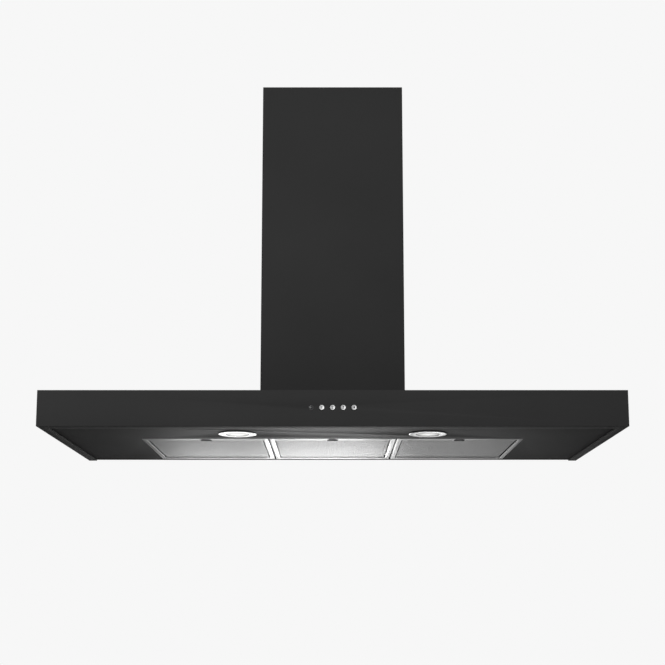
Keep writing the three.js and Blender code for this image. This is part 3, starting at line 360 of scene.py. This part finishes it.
class Finish:
    """A Principled material under construction, with shared effects wired to its shader."""

    def __init__(self, name, **constants):
        self.material = bpy.data.materials.new(name)
        self.material.use_nodes = True
        self.tree = self.material.node_tree
        self.shader = self.tree.nodes["Principled BSDF"]
        for socket, value in constants.items():
            self.shader.inputs[socket.replace("_", " ")].default_value = value

    def effect(self, group, **values):
        node = self.tree.nodes.new("ShaderNodeGroup")
        node.node_tree = group
        for socket, value in values.items():
            node.inputs[socket.replace("_", " ")].default_value = value
        return node

    def spread(self, source, socket, low, high):
        """A shader value that runs from low to high with a mask."""
        ranger = self.tree.nodes.new("ShaderNodeMapRange")
        ranger.inputs["From Min"].default_value, ranger.inputs["From Max"].default_value = MASK_RANGE
        ranger.inputs["To Min"].default_value = low
        ranger.inputs["To Max"].default_value = high
        self.tree.links.new(source, ranger.inputs["Value"])
        self.tree.links.new(ranger.outputs["Result"], self.shader.inputs[socket])

    def tint(self, source, dark, light):
        """The base colour, from dark to light with a mask."""
        ramp = self.tree.nodes.new("ShaderNodeValToRGB")
        for stop, position, colour in zip(ramp.color_ramp.elements, MASK_RANGE, (dark, light)):
            stop.position = position
            stop.color = (*colour, 1)
        self.tree.links.new(source, ramp.inputs["Fac"])
        self.tree.links.new(ramp.outputs["Color"], self.shader.inputs["Base Color"])

    def relief(self, source, strength, depth):
        """A bump as high as the source, up to a depth."""
        bump = self.tree.nodes.new("ShaderNodeBump")
        bump.inputs["Strength"].default_value = strength
        bump.inputs["Distance"].default_value = depth
        self.tree.links.new(source, bump.inputs["Height"])
        self.tree.links.new(bump.outputs["Normal"], self.shader.inputs["Normal"])


def grey(value, spread=0.0):
    """A neutral colour, lighter by a share of itself, or darker where that is negative."""
    return (value * (1 + spread),) * 3


def powder_coat(name, value, roughness, specular):
    """Matt black powder coat: grit under a millimetre, and a soft unevenness over the sheet."""
    paint = Finish(name, Specular_IOR_Level=specular)
    clouds = paint.effect(CLOUDS, Scale=5.0)
    grain = paint.effect(GRAIN, Scale=1300.0)
    paint.tint(clouds.outputs["Mask"], grey(value, -0.06), grey(value, 0.06))
    paint.spread(grain.outputs["Mask"], "Roughness", low=roughness + 0.05, high=roughness - 0.05)
    paint.relief(grain.outputs["Height"], strength=0.25, depth=0.05 * MM)
    return paint.material


def zinc_sheet(name):
    """Galvanised sheet: patches of crystal, faint rolling lines."""
    zinc = Finish(name, Metallic=1.0)
    spangle = zinc.effect(SPANGLE, Scale=190.0)
    lines = zinc.effect(STREAKS, Along_X=40.0, Along_Y=900.0, Along_Z=900.0)
    zinc.tint(spangle.outputs["Mask"], dark=(0.36, 0.365, 0.37), light=(0.40, 0.405, 0.41))
    zinc.spread(spangle.outputs["Mask"], "Roughness", low=0.54, high=0.48)
    zinc.relief(lines.outputs["Mask"], strength=0.08, depth=0.05 * MM)
    return zinc.material


def aluminium(name, value, roughness, along="X"):
    """Satin aluminium with fine drawing lines along one axis."""
    metal = Finish(name, Metallic=1.0)
    across = {f"Along_{axis}": 30.0 if axis == along else 2500.0 for axis in "XYZ"}
    lines = metal.effect(STREAKS, **across)
    metal.tint(lines.outputs["Mask"], grey(value, -0.05), grey(value, 0.04))
    metal.spread(lines.outputs["Mask"], "Roughness", low=roughness + 0.06, high=roughness - 0.04)
    metal.relief(lines.outputs["Mask"], strength=0.12, depth=0.03 * MM)
    return metal.material


def plating(name, value, roughness):
    """Bright plating, with the least clouding a wiped part has."""
    chrome = Finish(name, Metallic=1.0, Base_Color=(*grey(value), 1))
    clouds = chrome.effect(CLOUDS, Scale=60.0)
    chrome.spread(clouds.outputs["Mask"], "Roughness", low=roughness, high=roughness + 0.08)
    return chrome.material


def plastic(name, colour, roughness, specular=0.4, grit=1100.0):
    """Moulded plastic with a fine spark-eroded texture."""
    moulded = Finish(name, Specular_IOR_Level=specular)
    clouds = moulded.effect(CLOUDS, Scale=25.0)
    grain = moulded.effect(GRAIN, Scale=grit)
    dark = tuple(c * 0.95 for c in colour)
    light = tuple(min(1.0, c * 1.05) for c in colour)
    moulded.tint(clouds.outputs["Mask"], dark, light)
    moulded.spread(grain.outputs["Mask"], "Roughness", low=roughness + 0.06, high=roughness - 0.06)
    moulded.relief(grain.outputs["Height"], strength=0.2, depth=0.04 * MM)
    return moulded.material


def seal_foam(name):
    """Closed-cell foam: cells of about a millimetre, no shine."""
    foam = Finish(name, Specular_IOR_Level=0.15, Roughness=0.95)
    cells = foam.effect(SPANGLE, Scale=900.0)
    foam.tint(cells.outputs["Mask"], dark=grey(0.018), light=grey(0.045))
    foam.relief(cells.outputs["Mask"], strength=0.5, depth=0.3 * MM)
    return foam.material


def circuit_board(name):
    """Green solder mask over copper tracks."""
    board = Finish(name, Specular_IOR_Level=0.5)
    tracks = board.effect(STREAKS, Along_X=900.0, Along_Y=120.0, Along_Z=900.0)
    board.tint(tracks.outputs["Mask"], dark=(0.012, 0.06, 0.025), light=(0.03, 0.13, 0.05))
    board.spread(tracks.outputs["Mask"], "Roughness", low=0.45, high=0.3)
    return board.material


def lit_glass(name, strength):
    """Frosted glass with the light behind it, brightest in the middle of each lamp."""
    glass = Finish(name, Specular_IOR_Level=0.4, Emission_Strength=strength)
    clouds = glass.effect(CLOUDS, Scale=35.0)
    grain = glass.effect(GRAIN, Scale=700.0)
    low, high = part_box("lamp_lens_right")
    centre = (low + high) / 2
    pool = glass.effect(POOL, Place_X=centre.x, Place_Y=centre.y, Radius=LENS_GLOW)
    glass.tint(clouds.outputs["Mask"], dark=(0.44, 0.44, 0.43), light=(0.5, 0.5, 0.49))
    glass.spread(grain.outputs["Mask"], "Roughness", low=0.4, high=0.25)
    glass.relief(grain.outputs["Height"], strength=0.3, depth=0.1 * MM)
    ramp = glass.tree.nodes.new("ShaderNodeValToRGB")
    ramp.color_ramp.elements[0].color = (0.1, 0.1, 0.095, 1)
    ramp.color_ramp.elements[1].color = (1.0, 1.0, 0.97, 1)
    glass.tree.links.new(pool.outputs["Mask"], ramp.inputs["Fac"])
    glass.tree.links.new(ramp.outputs["Color"], glass.shader.inputs["Emission Color"])
    return glass.material


BLACK_STEEL = powder_coat("black_powder_coat", 0.024, 0.66, 0.14)
# The underside panel takes a darker, less shiny copy of the canopy's black coat: painted shade.
SHADED_PAN_STEEL = powder_coat("black_powder_coat_pan_painted_shade", 0.012, 0.58, 0.043)
ZINC = zinc_sheet("zinc_coated_steel")
SIDE_ALUMINIUM = aluminium("satin_aluminium", 0.29, 0.33, along="Y")
# A darker, rougher copy of the frame's aluminium for its ends: the darker colour is painted shade.
SHADED_END_ALUMINIUM = aluminium("satin_aluminium_ends_painted_shade", 0.25, 0.5)
MESH_ALUMINIUM = aluminium("expanded_aluminium", 0.355, 0.57, along="Y")
BUTTON_ALUMINIUM = aluminium("button_aluminium", 0.27, 0.38)
CHROME = plating("bright_plating", 0.38, 0.26)
BLACK_PLASTIC = plastic("black_plastic", grey(0.014), 0.55, specular=0.3)
WHITE_PLASTIC = plastic("white_plastic", (0.72, 0.72, 0.68), 0.45)
SMOKED = plastic("smoked_plastic", (0.012, 0.012, 0.013), 0.14, specular=0.3, grit=300.0)
RUBBER = plastic("black_rubber", grey(0.016), 0.8, specular=0.2, grit=600.0)
CABLE = plastic("cable_sheath", grey(0.02), 0.6, specular=0.3, grit=500.0)
MARK_GREY = plastic("printed_grey", (0.06, 0.06, 0.062), 0.6, specular=0.2)
LATCH_GREY = plastic("grey_latch_plastic", (0.07, 0.07, 0.072), 0.45)
FOAM = seal_foam("black_foam")
BOARD = circuit_board("circuit_board")
LIT_GLASS = lit_glass("lit_frosted_glass", 0.6)
IRON = aluminium("bare_motor_steel", 0.42, 0.5)


def dress(piece, finish, body, slot, *nodes):
    """Gives a finished piece its material and its body, and hides the nodes that it stands for; the
    slot is not used.
    """
    piece.data.materials.clear()
    piece.data.materials.append(finish)
    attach(piece, body)
    if nodes:
        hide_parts(*nodes)


def second_finish(piece, finish, test):
    """The faces whose middle passes the test take another material."""
    piece.data.materials.append(finish)
    for face in piece.data.polygons:
        if test(face.center):
            face.material_index = 1


def dress_copy(node, finish, body, slot, fold=0.0, smooth_degrees=35):
    """A node's own shape, dressed to stand for the node."""
    dress(node_copy(node, fold, smooth_degrees=smooth_degrees), finish, body, slot, node)


# ---------------------------------------------------------------- sheet metal

SHEET_METAL = [
    # node, finish, body, slot, radius of its folds in mm
    ("canopy_shell", BLACK_STEEL, "root", "black_steel", 0.45),
    ("underside_panel", SHADED_PAN_STEEL, "root", "black_steel", 0.4),
    ("chimney_lower", BLACK_STEEL, "root", "black_steel", 0.3),
    ("chimney_upper", BLACK_STEEL, "chimney_extension", "black_steel", 0.3),
    ("hanging_plate_left", ZINC, "root", "galvanised", 0.3),
    ("hanging_plate_right", ZINC, "root", "galvanised", 0.3),
    ("chimney_clip_left", ZINC, "root", "galvanised", 0.3),
    ("chimney_clip_right", ZINC, "root", "galvanised", 0.3),
    ("chimney_wall_bracket", ZINC, "chimney_extension", "galvanised", 0.3),
    ("blower_box", ZINC, "root", "galvanised", 0.3),
]

for node, finish, body, slot, fold in SHEET_METAL:
    dress_copy(node, finish, body, slot, fold * MM)


# ---------------------------------------------------------------- grease filters

SLOT = 2.6 * MM                       # the dark slot between the frame's lip and the mesh
WINDOW_SIDE = 9.5 * MM                # the frame's borders around its window
WINDOW_END = 21 * MM
FRAME_SKIN = 1.3 * MM                 # from the frame's outside to its mesh
WELL_WIDTH = 28 * MM                  # the room kept free of mesh around the latch
WELL_DEPTH = 33 * MM
LAYERS = [
    # cell length, cell width, strand width, height above the pad's underside, held in the channel
    (5.3 * MM, 2.65 * MM, 1.2 * MM, 0.5 * MM, False),
    (11.0 * MM, 5.5 * MM, 1.6 * MM, 1.65 * MM, False),
    (15.0 * MM, 7.5 * MM, 2.0 * MM, 3.3 * MM, True),
]
STRAND_FLATNESS = 0.45                # a strand's thickness as a part of its width
STRAND_TILT = math.radians(2.5)       # how far the slitting turns a strand out of the sheet
FRAME_FOLD = 0.45 * MM
LATCH_FOLD = 0.35 * MM


def strand(length, width):
    """One strand along X, three-sided, with its flat side down."""
    bpy.ops.object.select_all(action="DESELECT")
    bpy.ops.mesh.primitive_cylinder_add(
        vertices=3, radius=width / math.sqrt(3), depth=length, rotation=(0, math.pi / 2, 0))
    piece = settle(bpy.context.object)
    piece.rotation_euler.x = math.pi / 2
    settle(piece)
    piece.scale.z = STRAND_FLATNESS
    return settle(piece)


def diamond(cell_long, cell_short, width):
    """One cell of expanded mesh about the origin: four strands, each tilted by the slitting."""
    reach = Vector((cell_long / 2, cell_short / 2, 0))
    strands = []
    for side_x in (-1, 1):
        for side_y in (-1, 1):
            piece = strand(reach.length, width)
            slant = math.atan2(-reach.y * side_x * side_y, reach.x)
            piece.rotation_euler = (STRAND_TILT * side_y, 0, slant)
            piece.location = (reach.x * side_x / 2, reach.y * side_y / 2, 0)
            strands.append(settle(piece))
    return joined("diamond", strands)


def mesh_layer(low, high, cell_long, cell_short, width, height):
    """Whole diamonds side by side from one corner to the other, at a height."""
    span = high - low
    count_x = round(span.x / cell_long)
    count_y = round(span.y / cell_short)
    step_x, step_y = span.x / count_x, span.y / count_y
    layer = diamond(step_x, step_y, width)
    layer.location = (low.x + step_x / 2, low.y + step_y / 2, height)
    settle(layer)
    arrayed(layer, count_x, (step_x, 0, 0))
    return arrayed(layer, count_y, (0, step_y, 0))


def filter_mesh(side):
    """Three layers of expanded mesh, finest below, with room left for the latch's well."""
    node = f"filter_mesh_{side}"
    low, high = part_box(node)
    frame_low, frame_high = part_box(f"filter_frame_{side}")
    border = Vector((WINDOW_SIDE, WINDOW_END, 0))
    slot = Vector((SLOT, SLOT, 0))
    layers = []
    for cell_long, cell_short, width, height, held in LAYERS:
        inset = slot if held else border + slot
        corner_low = (low if held else frame_low) + inset
        corner_high = (high if held else frame_high) - inset
        layers.append(mesh_layer(corner_low, corner_high, cell_long, cell_short, width, low.z + height))
    mesh = joined(f"{node}_layers", layers)
    well_back = frame_low.y + WELL_DEPTH
    middle_x = (frame_low.x + frame_high.x) / 2
    edit_faces(mesh, lambda centre: (
        centre.y < well_back and abs(centre.x - middle_x) < WELL_WIDTH / 2))
    bpy.ops.mesh.select_linked()
    bpy.ops.mesh.delete(type="FACE")
    leave_edit()
    dress(mesh, MESH_ALUMINIUM, f"filter_{side}", "mesh", node)


def mitred(piece, low, high):
    """Cuts the lips' faces along the 45 degree joints at the four corners of a frame."""
    half_x, half_y = (low.x + high.x) / 2, (low.y + high.y) / 2
    for x, lean_x in ((low.x, 1), (high.x, -1)):
        for y, lean_y in ((low.y, 1), (high.y, -1)):
            edit_faces(piece, lambda centre: (
                (centre.x - half_x) * lean_x < 0 and (centre.y - half_y) * lean_y < 0))
            bpy.ops.mesh.bisect(plane_co=(x, y, 0), plane_no=(lean_x, -lean_y, 0))
            leave_edit()


def filter_frame(side):
    """The channel frame, folded and mitred; its ends take a darker, rougher copy of the sides' metal,
    the darker colour being painted shade.
    """
    node = f"filter_frame_{side}"
    low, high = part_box(node)
    mesh_low, mesh_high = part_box(f"filter_mesh_{side}")
    high.y = low.y + mesh_high.y - mesh_low.y + 2 * FRAME_SKIN
    piece = node_copy(node, fold=FRAME_FOLD, segments=3)
    mitred(piece, low, high)
    dress(piece, SIDE_ALUMINIUM, f"filter_{side}", "aluminium", node)
    second_finish(piece, SHADED_END_ALUMINIUM, lambda centre: (
        min(centre.y - low.y, high.y - centre.y) < min(centre.x - low.x, high.x - centre.x)))


for side in ("left", "middle", "right"):
    filter_mesh(side)
    filter_frame(side)
    dress_copy(f"filter_latch_{side}", LATCH_GREY, f"latch_{side}", "black_plastic", LATCH_FOLD)


# ---------------------------------------------------------------- lamps

APERTURE = 22.6 * MM                  # the bezel's opening, as a radius
LAMP_NECK = 31 * MM                   # the bezel's neck, where it passes the panel
BEZEL_SETTING = 0.5 * MM              # the rolled edge stays this far inside the node's radius
# Outlines: millimetres out of the opening, of the rolled edge or of the neck, and of height.
BEZEL_OPENING = [(0.0, 1.3), (0.0, 0.4), (0.5, 0.1), (1.4, 0.0), (5.0, 0.04)]
BEZEL_EDGE = [(-4.0, 0.16), (-1.6, 0.32), (-0.4, 0.52), (0.0, 0.7), (-0.3, 0.88)]
BEZEL_NECK_FOOT = [(1.0, 1.0), (0.0, 1.3)]
LENS_SEAT_EDGE = [(1.2, 1.4)]
LENS_SEAT = 1.6 * MM                  # the height of the bezel's seat for the lens
LENS_PLAY = 0.4 * MM                  # around the lens in the bezel
GROOVE_SHADE_WIDTH = 1.1 * MM                 # the black ring painted round the glass: painted shade of the groove between glass and bezel
# The dome's outline: parts of its radius, and millimetres of height.
GLASS_DOME = [(0.0, -0.95), (0.5, -0.9), (0.85, -0.72), (0.97, -0.48), (1.0, -0.2)]
GLASS_STEP = 1.5 * MM                 # from the lens's lower side up to where it widens
GROOVE_SHADE_START = 0.1 * MM                 # the painted shade ring begins this far inside the dome's radius
HOUSING_FOLD = 0.4 * MM


def stepped(radius, points):
    """An outline's points from millimetres out of a radius and millimetres of height."""
    return [(radius + out * MM, height * MM) for out, height in points]


def domed(radius, points):
    """An outline's points from parts of a radius and millimetres of height."""
    return [(radius * part, height * MM) for part, height in points]


def lamp(side):
    """Bright bezel standing a shadow's width off the panel, lit glass in it, the housing above."""
    bezel_node, lens_node = f"lamp_bezel_{side}", f"lamp_lens_{side}"
    low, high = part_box(bezel_node)
    lens_low, lens_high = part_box(lens_node)
    centre = (low + high) / 2
    outer = (high.x - low.x) / 2 - BEZEL_SETTING
    lens = (lens_high.x - lens_low.x) / 2
    bezel_height = high.z - low.z
    bezel = turned(f"{bezel_node}_ring", [
        *stepped(APERTURE, BEZEL_OPENING),
        *stepped(outer, BEZEL_EDGE),
        *stepped(LAMP_NECK, BEZEL_NECK_FOOT),
        (LAMP_NECK, bezel_height),
        (lens + LENS_PLAY, bezel_height),
        (lens + LENS_PLAY, LENS_SEAT),
        *stepped(APERTURE, LENS_SEAT_EDGE),
    ], Vector((centre.x, centre.y, low.z)))
    dress(smooth(bezel, 30), CHROME, "root", "chrome", bezel_node)
    lens_height = lens_high.z - lens_low.z
    dome = APERTURE - GROOVE_SHADE_WIDTH
    place = Vector((centre.x, centre.y, lens_low.z))
    glass = turned(f"{lens_node}_glass", [
        *domed(dome, GLASS_DOME),
        (dome, GLASS_STEP),
        (lens, GLASS_STEP),
        (lens, lens_height),
        (0.0, lens_height),
    ], place)
    dress(smooth(glass, 30), LIT_GLASS, "root", "lens", lens_node)
    # The black ring on the glass's rim is painted shade: it darkens the groove between the glass and
    # the bezel.
    second_finish(glass, RUBBER, lambda middle: off_axis(middle, place, "z") > dome - GROOVE_SHADE_START)
    dress_copy(f"lamp_housing_{side}", ZINC, "root", "galvanised", HOUSING_FOLD)
    dress_copy(f"lamp_board_{side}", BOARD, "root", "circuit")


for side in ("left", "right"):
    lamp(side)


# ---------------------------------------------------------------- controls

MARK_SIZE = 7.4 * MM                  # the numerals' size as type
MARK_WEIGHT = 0.16 * MM               # how much bolder they are than the type
MARK_DEPTH = 0.12 * MM                # half their thickness
CAP_RADIUS = 4.95 * MM
# The cap's dished face and the indicator's: millimetres, or parts of the radius, and millimetres deep.
CAP_FACE = [(0.0, 0.12), (3.4, 0.1), (3.9, 0.0), (4.4, 0.02), (4.8, 0.25)]
CAP_EDGE = 0.6 * MM                   # where the cap's rounded edge ends
CAP_HEIGHT = 4.4 * MM
STEM_RADIUS = 2.5 * MM                # of the buttons and of the indicator
INDICATOR_RADIUS = 4.25 * MM          # as it shows; its flange lies behind the sheet
INDICATOR_FACE = [(0.0, 0.0), (0.35, 0.05), (0.58, 0.2), (0.72, 0.5), (0.8, 0.5),
                  (0.86, 0.08), (0.95, 0.05), (1.0, 0.3)]
RING_START = 0.83                     # the grey ring's inner edge, as a part of that radius
FLANGE_START = 4.0 * MM               # the flange's place behind the face, and its thickness
FLANGE_THICK = 1.5 * MM


def mark(number, place):
    """A plain numeral raised from a button's dished face, up to its rim."""
    bpy.ops.object.select_all(action="DESELECT")
    bpy.ops.object.text_add(location=place, rotation=(math.pi / 2, 0, 0))
    text = bpy.context.object
    text.data.body = str(number)
    text.data.size = MARK_SIZE
    text.data.offset = MARK_WEIGHT
    text.data.align_x = "CENTER"
    text.data.align_y = "CENTER"
    text.data.extrude = MARK_DEPTH
    text.data.resolution_u = 3
    bpy.ops.object.convert(target="MESH")
    numeral = bpy.context.object
    numeral.name = f"button_{number}_mark"
    return settle(numeral)


def button(number):
    """Turned metal cap on its stem, with a numeral on its face."""
    node = f"button_{number}"
    low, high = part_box(node)
    centre = (low + high) / 2
    place = Vector((centre.x, low.y, centre.z))
    depth = high.y - low.y
    piece = turned(f"{node}_cap", [
        *stepped(0.0, CAP_FACE),
        (CAP_RADIUS, CAP_EDGE),
        (CAP_RADIUS, CAP_HEIGHT),
        (STEM_RADIUS, CAP_HEIGHT),
        (STEM_RADIUS, depth),
        (0.0, depth),
    ], place, axis="y", sides=64)
    dress(smooth(piece, 25), BUTTON_ALUMINIUM, f"push_button_{number}", "button_metal", node)
    numeral = mark(number, place + Vector((0, MARK_DEPTH, 0)))
    dress(numeral, MARK_GREY, f"push_button_{number}", "button_metal")


def indicator():
    """Smoked dome in a thin ring of its own."""
    node = "indicator_lens"
    low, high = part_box(node)
    centre = (low + high) / 2
    place = Vector((centre.x, low.y, centre.z))
    flange = (high.x - low.x) / 2
    depth = high.y - low.y
    lens = turned(f"{node}_dome", [
        *domed(INDICATOR_RADIUS, INDICATOR_FACE),
        (INDICATOR_RADIUS, FLANGE_START),
        (flange, FLANGE_START),
        (flange, FLANGE_START + FLANGE_THICK),
        (STEM_RADIUS, FLANGE_START + FLANGE_THICK),
        (STEM_RADIUS, depth),
        (0.0, depth),
    ], place, axis="y", sides=64)
    dress(smooth(lens, 35), SMOKED, "root", "smoked", node)
    second_finish(lens, LATCH_GREY, lambda middle: (
        off_axis(middle, place, "y") > INDICATOR_RADIUS * RING_START))


for number in range(1, 5):
    button(number)
indicator()
dress_copy("control_housing", BLACK_PLASTIC, "root", "black_plastic", HOUSING_FOLD)
dress_copy("control_board", BOARD, "root", "circuit")


# ---------------------------------------------------------------- inside

INNER_PIECES = [
    # node, finish, body, slot, rounding in mm
    ("electrics_box", BLACK_PLASTIC, "root", "black_plastic", 0.5),
    ("electrics_lid", BLACK_PLASTIC, "root", "black_plastic", 0.4),
    ("lamp_driver", WHITE_PLASTIC, "root", "white_plastic", 0.8),
    ("terminal_block", WHITE_PLASTIC, "root", "white_plastic", 0.4),
    ("blower_seal", FOAM, "root", "foam", 0.5),
    ("capacitor", WHITE_PLASTIC, "root", "white_plastic", 1.0),
    ("cable_gland", BLACK_PLASTIC, "root", "black_plastic", 0.5),
    ("scroll_left", BLACK_PLASTIC, "root", "black_plastic", 0.4),
    ("scroll_right", BLACK_PLASTIC, "root", "black_plastic", 0.4),
    ("impeller", BLACK_PLASTIC, "rotor", "black_plastic", 0.2),
    ("motor_body", IRON, "root", "motor_iron", 1.2),
    ("motor_shaft", CHROME, "rotor", "chrome", 0.3),
    ("motor_bracket", ZINC, "root", "galvanised", 0.3),
    ("motor_mount_1", RUBBER, "root", "rubber", 0.6),
    ("motor_mount_2", RUBBER, "root", "rubber", 0.6),
    ("motor_mount_3", RUBBER, "root", "rubber", 0.6),
    ("outlet_collar", BLACK_PLASTIC, "root", "black_plastic", 0.4),
    ("damper_pin", ZINC, "root", "galvanised", 0.3),
    ("damper_flap_front", WHITE_PLASTIC, "flap_front", "white_plastic", 0.3),
    ("damper_flap_rear", WHITE_PLASTIC, "flap_rear", "white_plastic", 0.3),
]

for node, finish, body, slot, rounding in INNER_PIECES:
    dress_copy(node, finish, body, slot, rounding * MM, smooth_degrees=40)
for node in ("control_cable", "lamp_cable_left", "lamp_cable_right", "blower_cable"):
    dress_copy(node, CABLE, "root", "cable", smooth_degrees=80)


# ---------------------------------------------------------------- floor, backdrop and light

BACKDROP = 0.93                       # the photograph's pale grey, as light
ROOM_LIGHT = 0.3                      # what the room sends to matt surfaces
FLOOR_DEPTH = 1.1                     # below z = 0
FLOOR_RADIUS = 12
FLOOR_GREY = 0.5
FLOOR_SEEN_GREY = 0.86                # the floor as the eye sees it
FLOOR_PALE = 0.82                     # how far the eye sees it so rather than as lit
LIGHTS = [
    # name, place, target, width, height, watts
    ("key", (-1.4, -4.8, 1.3), (0, -0.3, 0.25), 2.6, 2.6, 140),
    ("behind", (0.8, 2.6, 1.6), (0, 0, 0.2), 2.0, 2.0, 24),
    ("pan_card", (0.4, 1.3, -0.6), (0.2, -0.35, -0.03), 0.3, 0.3, 1.25),
    ("under", (-0.02, 0.32, -0.21), (-0.01, -0.1, -0.03), 0.3, 0.12, 1.4),
    ("under_left", (-0.3, 0.3, -0.21), (-0.26, -0.1, -0.03), 0.2, 0.12, 0.46),
]


def seen_pale(material):
    """The floor: paler to the eye than to the metal above it, shadow kept, and clear from below."""
    nodes, links = material.node_tree.nodes, material.node_tree.links
    ray = nodes.new("ShaderNodeLightPath")
    pale = nodes.new("ShaderNodeEmission")
    pale.inputs["Color"].default_value = (*grey(FLOOR_SEEN_GREY), 1)
    share = nodes.new("ShaderNodeMath")
    share.operation = "MULTIPLY"
    share.inputs[1].default_value = FLOOR_PALE
    lit = nodes.new("ShaderNodeMixShader")
    side = nodes.new("ShaderNodeNewGeometry")
    clear = nodes.new("ShaderNodeBsdfTransparent")
    whole = nodes.new("ShaderNodeMixShader")
    links.new(ray.outputs["Is Camera Ray"], share.inputs[0])
    links.new(share.outputs["Value"], lit.inputs["Fac"])
    links.new(nodes["Principled BSDF"].outputs["BSDF"], lit.inputs[1])
    links.new(pale.outputs["Emission"], lit.inputs[2])
    links.new(side.outputs["Backfacing"], whole.inputs["Fac"])
    links.new(lit.outputs["Shader"], whole.inputs[1])
    links.new(clear.outputs["BSDF"], whole.inputs[2])
    links.new(whole.outputs["Shader"], nodes["Material Output"].inputs["Surface"])


def floor():
    bpy.ops.object.select_all(action="DESELECT")
    bpy.ops.mesh.primitive_circle_add(
        vertices=96, radius=FLOOR_RADIUS, fill_type="NGON", location=(0, 0, -FLOOR_DEPTH))
    disc = settle(bpy.context.object)
    disc.name = "floor"
    paint = Finish("floor_paint", Roughness=0.9, Specular_IOR_Level=0.1)
    clouds = paint.effect(CLOUDS, Scale=1.5)
    paint.tint(clouds.outputs["Mask"], grey(FLOOR_GREY, -0.01), grey(FLOOR_GREY, 0.01))
    seen_pale(paint.material)
    disc.data.materials.append(paint.material)


def world():
    """The same pale grey to the eye and in reflections; a plain room light for everything else."""
    made = bpy.data.worlds.new("room")
    made.use_nodes = True
    bpy.context.scene.world = made
    nodes, links = made.node_tree.nodes, made.node_tree.links
    back = nodes["Background"]
    ray = nodes.new("ShaderNodeLightPath")
    seen = nodes.new("ShaderNodeMath")
    seen.operation = "MAXIMUM"
    through = nodes.new("ShaderNodeMath")
    through.operation = "MAXIMUM"
    strength = nodes.new("ShaderNodeMapRange")
    strength.inputs["To Min"].default_value = ROOM_LIGHT
    strength.inputs["To Max"].default_value = BACKDROP
    links.new(ray.outputs["Is Camera Ray"], seen.inputs[0])
    links.new(ray.outputs["Is Glossy Ray"], seen.inputs[1])
    links.new(seen.outputs["Value"], through.inputs[0])
    links.new(ray.outputs["Is Transmission Ray"], through.inputs[1])
    links.new(through.outputs["Value"], strength.inputs["Value"])
    links.new(strength.outputs["Result"], back.inputs["Strength"])
    back.inputs["Color"].default_value = (1, 1, 1, 1)


def softbox(name, place, target, width, height, watts):
    data = bpy.data.lights.new(name, "AREA")
    data.shape = "RECTANGLE"
    data.size = width
    data.size_y = height
    data.energy = watts
    light = bpy.data.objects.new(name, data)
    light.location = place
    light.rotation_euler = (Vector(target) - Vector(place)).to_track_quat("-Z", "Y").to_euler()
    light.visible_camera = False
    bpy.context.scene.collection.objects.link(light)


floor()
world()
for light_settings in LIGHTS:
    softbox(*light_settings)

bpy.context.scene.view_settings.view_transform = "Standard"
